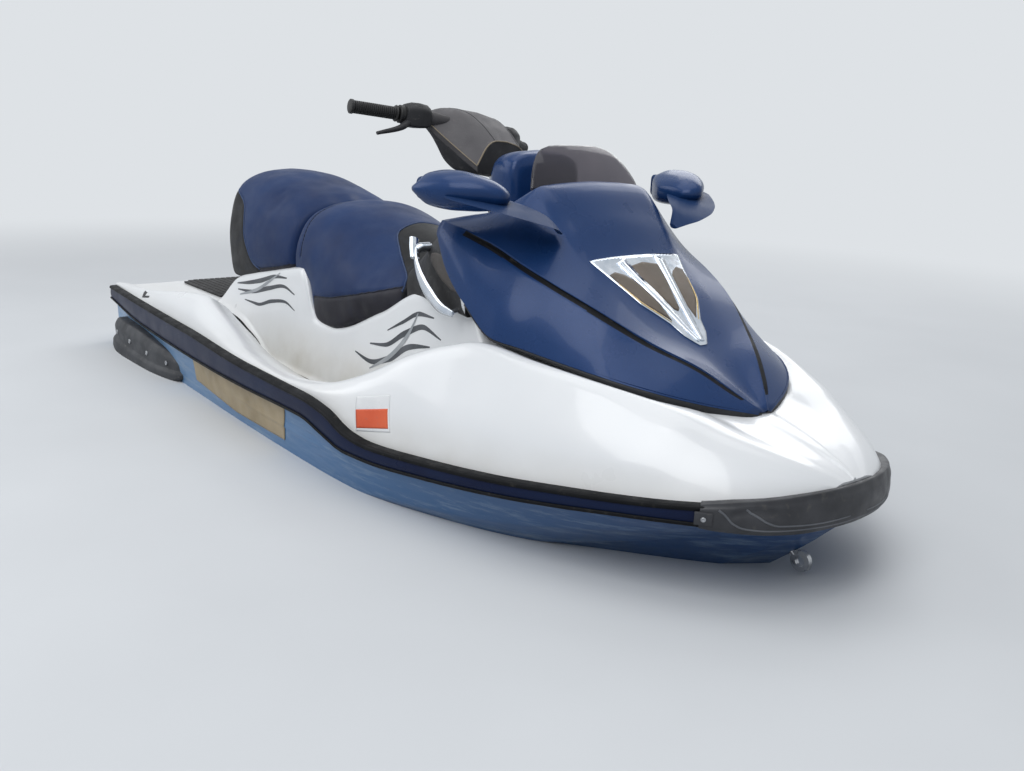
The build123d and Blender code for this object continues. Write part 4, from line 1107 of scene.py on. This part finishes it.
def seats():
    """Rear and front seat pads, swollen over their foam, with sewn seams."""
    rear = cushion("rear_pad", REAR_SEAT, "rear_seat")
    front = cushion("front_pad", FRONT_SEAT, "front_seat")
    inflate(rear, REAR_HELD)
    inflate(front, FRONT_HELD)
    rear_band, front_band = curve_points(REAR_BAND, 60), curve_points(FRONT_BAND, 120)
    seams = {
        rear: [over(BACK_EDGE, PANEL_POINTS), rear_band, mirrored(rear_band)],
        front: [over(NOSE_EDGE, PANEL_POINTS), front_band, mirrored(front_band), roll_line()],
    }
    drawn = {pad: [on_surface(pad, line) for line in lines] for pad, lines in seams.items()}
    for pad, lines in drawn.items():
        for line in lines:
            sew(pad, line)
        piping("piping_" + pad.name, pad, lines[:1], "piping")
        # These seam cords take a darker vinyl: painted shade in their grooves.
        piping("seams_" + pad.name, pad, lines[1:], "seam_shade", 1.8)
    half = PANEL_POINTS // 2 + 1
    back_x = edge_at(drawn[rear][0][:half], 2, 0)
    rear_z = edge_at(drawn[rear][1], 0, 2)
    nose_x = edge_at(drawn[front][0][:half], 1, 0)
    front_z = edge_at(drawn[front][1], 0, 2)
    recolour(rear, "vinyl_black", lambda x, y, z: x < back_x(z))
    recolour(rear, "vinyl_dark", lambda x, y, z: x >= back_x(z) and z < rear_z(x))
    recolour(front, "vinyl_black", lambda x, y, z: x > nose_x(-abs(y)))
    recolour(front, "vinyl_dark",
             lambda x, y, z: SKIRT_START < x <= nose_x(-abs(y)) and z < front_z(x) and abs(y) > CROWN_HALF)


# Console, instruments and steering

# Console stations. Columns: x, half-width below, half-width above, z below, z above.
CONSOLE = [
    (1706, 246, 150, 654, 800),
    (1790, 262, 200, 684, 845),
    (1880, 298, 250, 692, 882),
    (1990, 324, 296, 695, 902),
    (2110, 338, 284, 690, 896),
]
# Outlines in x and z of the lighter patch of the knee panel, painted as sunlight, and of the white strip
# above it.
KNEE_SUN_PATCH = [
    (1905, 820), (1940, 826), (1996, 826), (2038, 801), (2066, 774), (2078, 754), (2066, 744), (2036, 747),
    (1990, 762), (1930, 788), (1898, 806),
]
KNEE_STRIP = [
    (1996, 834), (2030, 816), (2058, 794), (2088, 766), (2107, 744), (2107, 700), (2094, 712), (2082, 748),
    (2056, 778), (2028, 808),
]


def console_outline(x, low, wide, base, top):
    """Console section."""
    return whole(rounded([
        (low - 40, base, 0), (low, base, 8), (low + 2, base + 40, 20), (low, top - 60, 40),
        (wide, top - 8, 34), (wide * 0.6, top, 40), (0, top + 1, 0)], 5))


def console_skin():
    """Dark console with knee panels between the seat and the hood, a patch of each painted lighter as
    sunlight.
    """
    rings = rings_of(CONSOLE, 12, console_outline)
    made = solid("console_skin", [rings], "console", CRAFT, "dark_plastic", "console", sharp=38)
    for side, label in SIDES:
        for name, outline, look, slot, lift, thick in (
            # The knee patch is painted lighter as sunlight.
            ("painted_sun", KNEE_SUN_PATCH, "painted_sun", "dark_plastic", 0.6, 0.6),
            ("strip", KNEE_STRIP, "gelcoat", "gelcoat_white", 0.9, 1.0),
        ):
            patch(f"knee_{name}_{label}", upright(outline, side, BESIDE_CONSOLE), made, look, slot,
                  (0, -side, 0), lift, thick)


# Pod stations. Columns: x, half-width, low z, high z.
POD = [
    (1872, 76, 880, 1026),
    (1886, 105, 880, 1064),
    (1915, 118, 880, 1081),
    (1955, 121, 880, 1086),
    (1985, 117, 880, 1080),
    (2003, 98, 880, 1051),
]
DIAL_AT = Vector((1868, 0, 1000))
DIAL_AXIS = Vector((-0.98, 0, 0.2)).normalized()
DIAL_TICKS, DIAL_STEP, DIAL_FROM = 13, 20, -120
TICK_RADIUS = 38


def pod_outline(x, half, low, high):
    """Pod section."""
    corners = [(half, low, 0), (half, high - 34, 40), (half * 0.72, high - 6, 34), (0, high, 0)]
    return whole(rounded(corners, 6))


def gauge_pod():
    """Navy pod with a dark dial face toward the rider."""
    solid("pod_skin", [rings_of(POD, 6, pod_outline)], "navy", CRAFT, "navy_paint", "gauge_pod", sharp=40)
    face = turned([(0, 0.1), (0, 44), (2.5, 47), (5, 48), (5, 52), (0, 55), (-6, 56)], DIAL_AT, DIAL_AXIS, 48)
    skin("dial_face", [face], "dial", CRAFT, "dark_plastic", closed=True, sharp=30)
    across = Vector((0, 1, 0))
    up = across.cross(DIAL_AXIS) * -1
    ticks = []
    for k in range(DIAL_TICKS):
        t = math.radians(DIAL_FROM + DIAL_STEP * k)
        spot = DIAL_AT + DIAL_AXIS * 1.4 + (up * math.cos(t) + across * math.sin(t)) * TICK_RADIUS
        ticks.append((tuple(spot), (1.6, 2.4, 2.4), 0))
    blocks("dial_marks", ticks, "paper", CRAFT, "dark_plastic", ease=0.4)


# The bars straight ahead, starboard: their line, and the grip on it as shares of its length.
BAR_KNEE = (1668, -140, 1130)
BAR_END = (1562, -385, 1122)
BAR = Vector(BAR_END) - Vector(BAR_KNEE)
GRIP_START = 0.50
GRIP_CAP = 0.96
GRIP_RIBS = 20

# Cover stations. Columns: x, ridge y and z, crown z, low z.
COVER = [
    (1590, 128, 1132, 1146, 1112),
    (1596, 150, 1134, 1157, 1102),
    (1610, 172, 1136, 1167, 1095),
    (1640, 182, 1130, 1176, 1065),
    (1665, 173, 1112, 1176, 1025),
    (1700, 152, 1084, 1168, 1003),
    (1750, 132, 1050, 1140, 1001),
    (1798, 118, 1020, 1100, 1003),
]
COVER_BACK_X = 1797
COVER_BAND = 18
# Switch housing sections. Columns: share along the bar, half-depth, height below, height above.
SWITCH = (
    (0.135, 15, 14, 15), (0.15, 24, 24, 27), (0.19, 28, 28, 34), (0.27, 30, 30, 36),
    (0.36, 29, 30, 35), (0.405, 27, 28, 31), (0.42, 21, 21, 24),
)


def cover_outline(x, ridge, middle, crown, low):
    """Cover section, with its ridge at the side."""
    return whole(rounded([
        (0, low, 0), (ridge * 0.6, low, 12), (ridge * 0.96, middle - 18, 6), (ridge, middle, 3),
        (ridge * 0.66, crown - 6, 40), (0, crown, 0)], 5), 1)


def cover_skin():
    """Grey padded cover over the middle of the bars, with painted shade below its ridge and on its front
    face.
    """
    rings = rings_of(COVER, 6, cover_outline)
    made = solid("cover_skin", [rings], "cover", "steering", "cover_grey", "steering_cover", sharp=36)
    table = np.array(COVER, float)

    def below(x, z):
        return float(np.interp(x, table[:, 0], table[:, 2])) - z

    # Painted shade: darker below the ridge and on the front face, mid grey in a band just below the ridge.
    recolour(made, "cover_shade_and_seams", lambda x, y, z: x > COVER_BACK_X or below(x, z) > COVER_BAND)
    recolour(made, "cover_half_shade", lambda x, y, z: x <= COVER_BACK_X and 1 < below(x, z) <= COVER_BAND)
    edges, creases = [[], []], [[], []]
    for x, ridge, middle, crown, _ in rows_at(COVER, stations(COVER, 6)):
        if x > 1600:
            for side, edge, crease in zip((1, -1), edges, creases):
                edge.append((x, ridge * side, middle))
                crease.append((x, ridge * 0.46 * side, crown - 2))
    rim = [(x - 1, y, z) for x, y, z in rings[-1] if z > COVER[-1][2] + 2]
    cords = [sweep(on_surface(made, line, 0.2), circle(1.3, 8)) for line in edges]
    cords.append(sweep(rim, circle(2.2, 8), up=(1, 0, 0)))
    lines = [sweep(on_surface(made, line), circle(1.0, 8)) for line in creases]
    profile = [(-70, 0.1), (-70, 6), (-30, 13), (10, 18), (30, 20), (48, 20), (48, 0.1)]
    sleeve = turned(profile, BAR_KNEE, BAR, 24)
    at_rest(
        made,
        # Tan cords on the ridges and rim: painted highlight.
        solid("cover_edges", cords, "edge", "steering", "cover_grey"),
        solid("cover_seams", lines, "cover_shade_and_seams", "steering", "cover_grey"),
        skin("cover_arms", pair(sleeve), "cover_half_shade", "steering", "cover_grey", closed=True))


def bar_point(share):
    """Point on the starboard bar line, 0 at the knee and 1 at the end."""
    return tuple(a + (b - a) * share for a, b in zip(BAR_KNEE, BAR_END))


def grip_skins():
    """Ribbed rubber grips with flanges and end caps."""
    length = BAR.length
    start, stop = GRIP_START * length, GRIP_CAP * length
    profile = [(start, 12), (start, 20.5), (start + 2, 22), (start + 4, 21), (start + 6, 16)]
    step = (stop - start - 8) / GRIP_RIBS
    for k in range(GRIP_RIBS):
        a = start + 7 + k * step
        profile += [(a, 15.0), (a + step * 0.2, 17.0), (a + step * 0.7, 17.0), (a + step * 0.9, 15.0)]
    profile += [(stop, 17), (stop + 2, 19), (length - 2, 19), (length, 16), (length, 0.1)]
    grip = turned(profile, BAR_KNEE, BAR, 28)
    at_rest(skin("grip_skins", pair(grip), "grip", "steering", "grip_rubber", "grips", closed=True, sharp=40))


def switch_skins():
    """Boxy control housings inboard of the grips, with a clamp ring and a switch."""
    axis, length = BAR.normalized(), BAR.length
    rings = []
    for share, deep, below, above in SWITCH:
        x, y, z = bar_point(share)
        corners = [(-deep, -below, 7), (deep, -below, 7), (deep, above * 0.5, 7), (deep * 0.4, above, 7),
                   (-deep, above * 0.9, 8)]
        rings.append([(x + a * -axis.y, y + a * axis.x, z + b) for a, b in ring_of(corners, 4)])
    profile = ((0.42, 12), (0.42, 22), (0.43, 24), (0.47, 24), (0.48, 22), (0.485, 12))
    collar = turned([(share * length, radius) for share, radius in profile], BAR_KNEE, axis, 28)
    buttons = []
    for side in (-1, 1):
        for share, back, up, size in ((0.25, 8, 32, (14, 18, 8)), (0.34, 28, 12, (10, 14, 12))):
            x, y, z = bar_point(share)
            buttons.append(((x - back, y * -side, z + up), size, 0))
    at_rest(
        solid("switch_skins", pair(rings), "housing", "steering", "dark_plastic", "switch_housings",
              sharp=32),
        skin("grip_clamps", pair(collar), "grip", "steering", "dark_plastic", closed=True, sharp=32),
        blocks("switch_buttons", buttons, "rubber", "steering", "dark_plastic", ease=2))


def lever_skin():
    """Short curved finger lever ahead of the starboard grip."""
    marks = ((0.40, (16, 0, -16)), (0.52, (34, 0, -34)), (0.80, (42, 0, -60)))
    path = curve_points([tuple(Vector(bar_point(share)) + Vector(off)) for share, off in marks], 30)
    lever = sweep(path, circle(9, 16, 0.85), scale=lambda t: 1.3 - 0.7 * t)
    at_rest(solid("lever_skin", [lever], "housing", "steering", "dark_plastic", "throttle_lever", sharp=50))


# Trim

# Heights and sides that painted marks are cast from.
ABOVE_HOOD = 900
ABOVE_FLOOR = 500
BESIDE_HULL = 640
BESIDE_CONSOLE = 400
BESIDE_SEAT = 300


def emblem(hood):
    """Bright V on the hood with dark insets and a gold lower edge."""
    def flat(points, side=1):
        return [(x, y * side, ABOVE_HOOD) for x, y in points]

    edge = [(2338, 152), (2376, 134), (2462, 98), (2516, 52), (2548, 38), (2576, 12)]
    wing = [(2380, 124), (2376, 104), (2386, 84), (2400, 68), (2430, 54), (2472, 42), (2510, 42),
            (2462, 90), (2420, 112)]
    centre = [(2368, 46), (2362, 0), (2368, -46), (2380, -47), (2484, -9), (2490, 0), (2484, 9), (2380, 47)]
    spine = [(2352, 66), (2398, 53), (2440, 39), (2500, 22), (2566, 5)]
    rim = [(2404, 118), (2462, 92), (2492, 66), (2514, 46)]
    outer = [(x, -y) for x, y in edge[::-1]] + [(2342, -60), (2344, 0), (2342, 60)] + edge
    patch("emblem_frame", flat(outer), hood, "chrome", "chrome", DOWN, 1.2, 3.0, "hood_emblem", body="hood")
    for k, outline in enumerate((flat(wing, -1), flat(wing), flat(centre))):
        patch(f"emblem_inset_{k}", outline, hood, "inset", "dark_plastic", DOWN, 3.2, 1.0, body="hood")
    for name, line, widths, look, lift, thick in (
        ("arms", spine, (34, 25, 22, 20, 10), "chrome", 5.0, 2.5),
        ("gold", rim, (1, 4, 4, 1), "gold", 3.8, 1.0),
    ):
        strokes = [stroke(flat(line, side), widths, hood, DOWN, lift) for side, _ in SIDES]
        thicken(skin(f"emblem_{name}", strokes, look, "hood", "chrome", sharp=40), thick)


# Blade handle, starboard. Columns: x, y, z, half-width.
BLADE = [
    (1868, -328, 826, 12),
    (1884, -338, 800, 15),
    (1922, -348, 762, 19),
    (1972, -354, 728, 19),
    (2030, -357, 702, 15),
    (2074, -353, 694, 8),
]


def blade_skins():
    """Bright curved blade handles with their brackets."""
    def wide(t):
        return float(np.interp(t, np.linspace(0, 1, len(BLADE)), [row[3] for row in BLADE]))

    section = ring_of([(-0.35, -1, 0.3), (0.15, -1, 0.3), (0.35, 0, 0.6), (0.15, 1, 0.3), (-0.35, 1, 0.3)], 4)
    grids = [sweep(curve_points([row[:3] for row in BLADE], 60), section, up=(0.2, -0.1, 1), scale=wide)]
    for path, count, ring, up in (
        ([(1866, -284, 830), (1866, -310, 830), (1868, -330, 824)], 14, circle(16, 18, 0.8), (0, 0, 1)),
        ([(1852, -322, 852), (1866, -331, 830), (1880, -337, 806)], 12, circle(14, 16, 0.6), (1, 0, 0.3)),
        ([(2064, -316, 702), (2067, -338, 700), (2070, -352, 697)], 12, circle(9, 14, 0.7), (0, 0, 1)),
    ):
        grids.append(sweep(curve_points(path, count), ring, up=up))
    solid("blade_skins", pair(*grids), "chrome", CRAFT, "chrome", "side_blades", sharp=50)


MAT_RIBS, MAT_PITCH = 22, 23.5
MAT_EDGE_Y = -247
FOOT_RIBS, FOOT_PITCH, FOOT_EDGE_Y = 4, 20, 330


def mats():
    """Grooved foam mats on the stern platform and in the footwells."""
    rows = []
    for k in range(MAT_RIBS):
        y = MAT_EDGE_Y + k * MAT_PITCH
        inset = 28 * max(0.0, abs(y) - 215) / 35
        rows.append(((235, y, 457.5), (416 - 2 * inset, 20, 7), 0))
    blocks("rear_mat_ribs", rows, "mat", CRAFT, "mat_black", "rear_mat", ease=2)

    def rib(y):
        """Section of one rib at y, on the footwell's floor."""
        corners = ((y - 8, -1, 0.5), (y - 8, 6, 3), (y + 8, 6, 3), (y + 8, -1, 0.5))
        return lambda *row: ring_of([(a, row[9] + up, ease) for a, up, ease in corners], 2)

    ys = [FOOT_EDGE_Y + k * FOOT_PITCH for k in range(FOOT_RIBS)]
    ribs = [rings_of(DECK, 20, rib(y), low=1110, high=1930) for y in ys]
    solid("foot_mat_ribs", pair(*ribs), "mat", CRAFT, "mat_black", "foot_mats", sharp=40)


# Sponson stations. Columns: x, inner y, outer y, low z, high z.
SPONSON = [
    (96, 500, 530, 262, 324),
    (104, 500, 556, 246, 340),
    (130, 505, 578, 232, 352),
    (300, 515, 590, 214, 352),
    (520, 522, 586, 206, 338),
    (680, 528, 566, 222, 318),
    (752, 530, 550, 243, 300),
    (760, 530, 540, 250, 290),
]


def sponson_outline(x, inner, outer, low, high):
    """Sponson section with a step."""
    tall = high - low
    corners = [
        (inner - 30, low + 8, 2), (outer - 8, low, 6), (outer, low + 10, 6),
        (outer - 3, low + tall * 0.36, 5), (outer - 14, low + tall * 0.44, 5),
        (outer - 12, high - tall * 0.2, 8), (outer - 26, high, 8), (inner - 30, high, 2)]
    return ring_of([(a, max(low, min(high, b)), c) for a, b, c in corners], 3)


def sponson_skins():
    """Side sponsons with bolt heads."""
    bolts = []
    for x, _, outer, low, high in rows_at(SPONSON, (170, 330, 500, 650)):
        spot = (x, outer - 13, low + (high - low) * 0.62)
        bolts.append(turned([(0, 9), (2.5, 8.6), (3.5, 6), (2, 3.5), (2, 0.1)], spot, (0, 1, 0), 20))
    rings = rings_of(SPONSON, 14, sponson_outline)
    solid("sponson_skins", pair(rings), "sponson", CRAFT, "sponson_grey", "sponsons", sharp=40)
    skin("sponson_bolts", pair(*bolts), "steel", CRAFT, "steel", closed=True)


# Pedestal strokes. Columns: look, path in x and z, widths along it.
STROKES = (
    ("graphite", ((596, 538), (690, 554), (790, 576), (900, 606), (990, 614)), (4, 13, 17, 13, 4)),
    ("graphite", ((620, 520), (740, 530), (860, 560), (980, 584), (1062, 570)), (4, 12, 16, 12, 4)),
    ("graphite", ((700, 496), (800, 496), (900, 522), (1000, 536), (1076, 520)), (3, 10, 13, 10, 3)),
    ("silver", ((650, 506), (770, 540), (860, 584), (930, 622)), (4, 12, 12, 4)),
    ("graphite", ((1470, 466), (1560, 456), (1670, 486), (1770, 540), (1890, 566)), (4, 14, 20, 16, 4)),
    ("graphite", ((1550, 506), (1640, 520), (1740, 572), (1850, 610), (1950, 598)), (4, 13, 18, 14, 4)),
    ("graphite", ((1600, 428), (1700, 446), (1800, 500), (1900, 528)), (3, 12, 14, 4)),
    ("graphite", ((1640, 562), (1720, 600), (1810, 640), (1900, 646)), (3, 10, 13, 4)),
    ("silver", ((1570, 436), (1680, 498), (1760, 574), (1800, 640)), (4, 14, 15, 4)),
)
STROKE_LIFT = {"graphite": 0.5, "silver": 1.0}
# Footwell seam in x and y, and outlines in x and z of the flat marks.
FOOTWELL_SEAM = ((600, 318), (700, 320), (777, 320), (830, 317), (890, 315))
HULL_BAND = ((910, 362), (1620, 374), (1578, 264), (1240, 258), (908, 282))
DECK_SLOT = ((338, 486), (376, 486), (372, 474), (420, 481), (418, 474), (352, 464))
STICKER_BACK = ((1965, 486), (2083, 516), (2106, 430), (1984, 404))
STICKER_FRONT = ((1974, 456), (2086, 483), (2098, 437), (1985, 412))


def stripes(deck, hull):
    """Plain stripes and marks: tan band, pedestal strokes, seams, a blank sticker and a slot."""
    for look, lift in STROKE_LIFT.items():
        grids = [
            stroke(upright(path, side, BESIDE_SEAT), widths, deck, (0, -side, 0), lift, 50, 75.0)
            for side, _ in SIDES for kind, path, widths in STROKES if kind == look]
        skin(f"pedestal_marks_{look}", grids, look, CRAFT, "dark_plastic", sharp=60)
    seams = []
    for side, label in SIDES:
        seam = [(x, y * side, ABOVE_FLOOR) for x, y in FOOTWELL_SEAM]
        seams.append(stroke(seam, (4, 10, 10, 6, 2), deck, DOWN, 0.6))
        way = (0, -side, 0)
        band, slot = (upright(outline, side, BESIDE_HULL) for outline in (HULL_BAND, DECK_SLOT))
        patch(f"hull_band_{label}", band, hull, "tan", "sponson_grey", way, 1.3, 0.8, pitch=14)
        patch(f"deck_slot_{label}", slot, deck, "rubber", "rail_rubber", way, 0.4, 0.4)
    skin("footwell_seams", seams, "lip", CRAFT, "rail_rubber", sharp=60)
    for name, outline, look, lift in (
        ("back", STICKER_BACK, "paper", 0.5),
        ("front", STICKER_FRONT, "orange", 0.9),
    ):
        block = upright(outline, -1, BESIDE_HULL)
        patch(f"sticker_{name}", block, deck, look, "gelcoat_white", (0, 1, 0), lift, 0.4)


# Studio

PALE = colour(222, 226, 230)
# Area lamps. Columns: name, place in metres, size, power.
LAMPS = (
    ("key", (2.4, -3.4, 4.6), 3.6, 150),
    ("fill", (-2.8, -3.4, 3.0), 3.4, 70),
    ("back", (-1.5, 4.0, 3.8), 3.6, 90),
    ("top", (0.2, 0.0, 5.4), 4.4, 90),
)
LAMPS_AIM = Vector((0.1, 0, 0.3))
FLOOR_HALF = 30
FLOOR_FADE = (2.2, 6.0)


def in_scene(name, data):
    """A new object of the studio, linked into the scene."""
    made = bpy.data.objects.new(name, data)
    bpy.context.scene.collection.objects.link(made)
    return made


def seen_ray(tree):
    """1 for rays of the camera, of mirrors and of glass, else 0."""
    paths = node(tree, "LightPath", {})
    share = paths["Is Camera Ray"]
    for kind in ("Is Glossy Ray", "Is Transmission Ray"):
        share = node(tree, "Math", {0: share, 1: paths[kind]}, operation="MAXIMUM")[0]
    return share


def photo_camera():
    """Camera of the photograph."""
    yaw, pitch, roll = (math.radians(v) for v in (CAMERA_YAW, CAMERA_PITCH, CAMERA_ROLL))
    ahead = Vector((math.cos(yaw) * math.cos(pitch), math.sin(yaw) * math.cos(pitch), math.sin(pitch)))
    level = Vector((math.sin(yaw), -math.cos(yaw), 0))
    upright = level.cross(ahead)
    right = level * math.cos(roll) + upright * math.sin(roll)
    up = upright * math.cos(roll) - level * math.sin(roll)
    lens = bpy.data.cameras.new("photo_camera")
    lens.lens = CAMERA_LENS
    lens.sensor_width = 36
    lens.clip_start = 0.05
    camera = in_scene("photo_camera", lens)
    camera.matrix_world = Matrix.Translation(CAMERA_AT) @ Matrix((right, up, -ahead)).transposed().to_4x4()
    return camera


def floor():
    """Pale floor at the waterline, which fades into the background."""
    mesh = bpy.data.meshes.new("floor")
    far = FLOOR_HALF
    mesh.from_pydata([(-far, -far, 0), (far, -far, 0), (far, far, 0), (-far, far, 0)], [], [(0, 1, 2, 3)])
    material, tree, shader = finish("floor", Roughness=0.8, Specular_IOR_Level=0.2)
    base = ramp(tree, speckle(tree, 1.5, 3), 0.3, 0.7, (202, 205, 208), (206, 209, 212))
    tree.links.new(base, shader.inputs["Base Color"])
    reach = node(tree, "VectorMath", {0: coordinates(tree)}, operation="LENGTH")["Value"]
    fade = node(tree, "MapRange", {"Value": reach, "From Min": FLOOR_FADE[0], "From Max": FLOOR_FADE[1]},
                interpolation_type="SMOOTHSTEP")["Result"]
    glow = node(tree, "Emission", {"Color": PALE})[0]
    share = times(tree, fade, seen_ray(tree))
    blend = node(tree, "MixShader", {0: share, 1: shader.outputs[0], 2: glow})[0]
    tree.links.new(blend, tree.nodes["Material Output"].inputs["Surface"])
    mesh.materials.append(material)
    in_scene("floor", mesh)


def studio():
    """Camera of the photograph, pale floor and soft lamps."""
    scene = bpy.context.scene
    scene.camera = photo_camera()
    scene.view_settings.view_transform = "Standard"
    floor()
    for name, spot, size, power in LAMPS:
        lamp = bpy.data.lights.new(name, "AREA")
        lamp.size = size
        lamp.energy = power
        holder = in_scene(name, lamp)
        holder.location = spot
        holder.rotation_mode = "QUATERNION"
        holder.rotation_quaternion = (LAMPS_AIM - Vector(spot)).to_track_quat("-Z", "Y")
    scene.world = bpy.data.worlds.new("studio")
    scene.world.use_nodes = True
    tree = scene.world.node_tree
    tree.nodes.clear()
    soft = node(tree, "Background", {"Color": colour(226, 232, 240), "Strength": 0.38})[0]
    pale = node(tree, "Background", {"Color": PALE})[0]
    choose = node(tree, "MixShader", {0: seen_ray(tree), 1: soft, 2: pale})[0]
    node(tree, "OutputWorld", {"Surface": choose})


# Looks of the CAD nodes that stay.
NODE_LOOKS = {
    "engine": ["engine"],
    "glass": ["mirror_glasses"],
    "console": ["steering_support"],
    "bar": ["handlebar"],
    "steel": ["steering_column", "impeller", "bow_eye", "stern_eyes"],
    "plastic": ["rear_handle", "front_bin"],
    "alloy": ["pump_housing", "venturi", "nozzle_bracket", "steering_nozzle", "reverse_bucket",
              "intake_grate", "ride_plate"],
}


def dress_cad():
    """Procedural materials on the CAD nodes that stay."""
    for look, names in NODE_LOOKS.items():
        for name in names:
            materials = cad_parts[name].data.materials
            materials.clear()
            materials.append(PAINT[look])


deck = deck_skin()
hull = hull_skin()
rail_skins()
bumper_skin()
hood = hood_skin()
hood_seals()
shield_skin()
mirror_skins()
seats()
console_skin()
gauge_pod()
cover_skin()
grip_skins()
switch_skins()
lever_skin()
emblem(hood)
blade_skins()
mats()
sponson_skins()
stripes(deck, hull)
dress_cad()
studio()
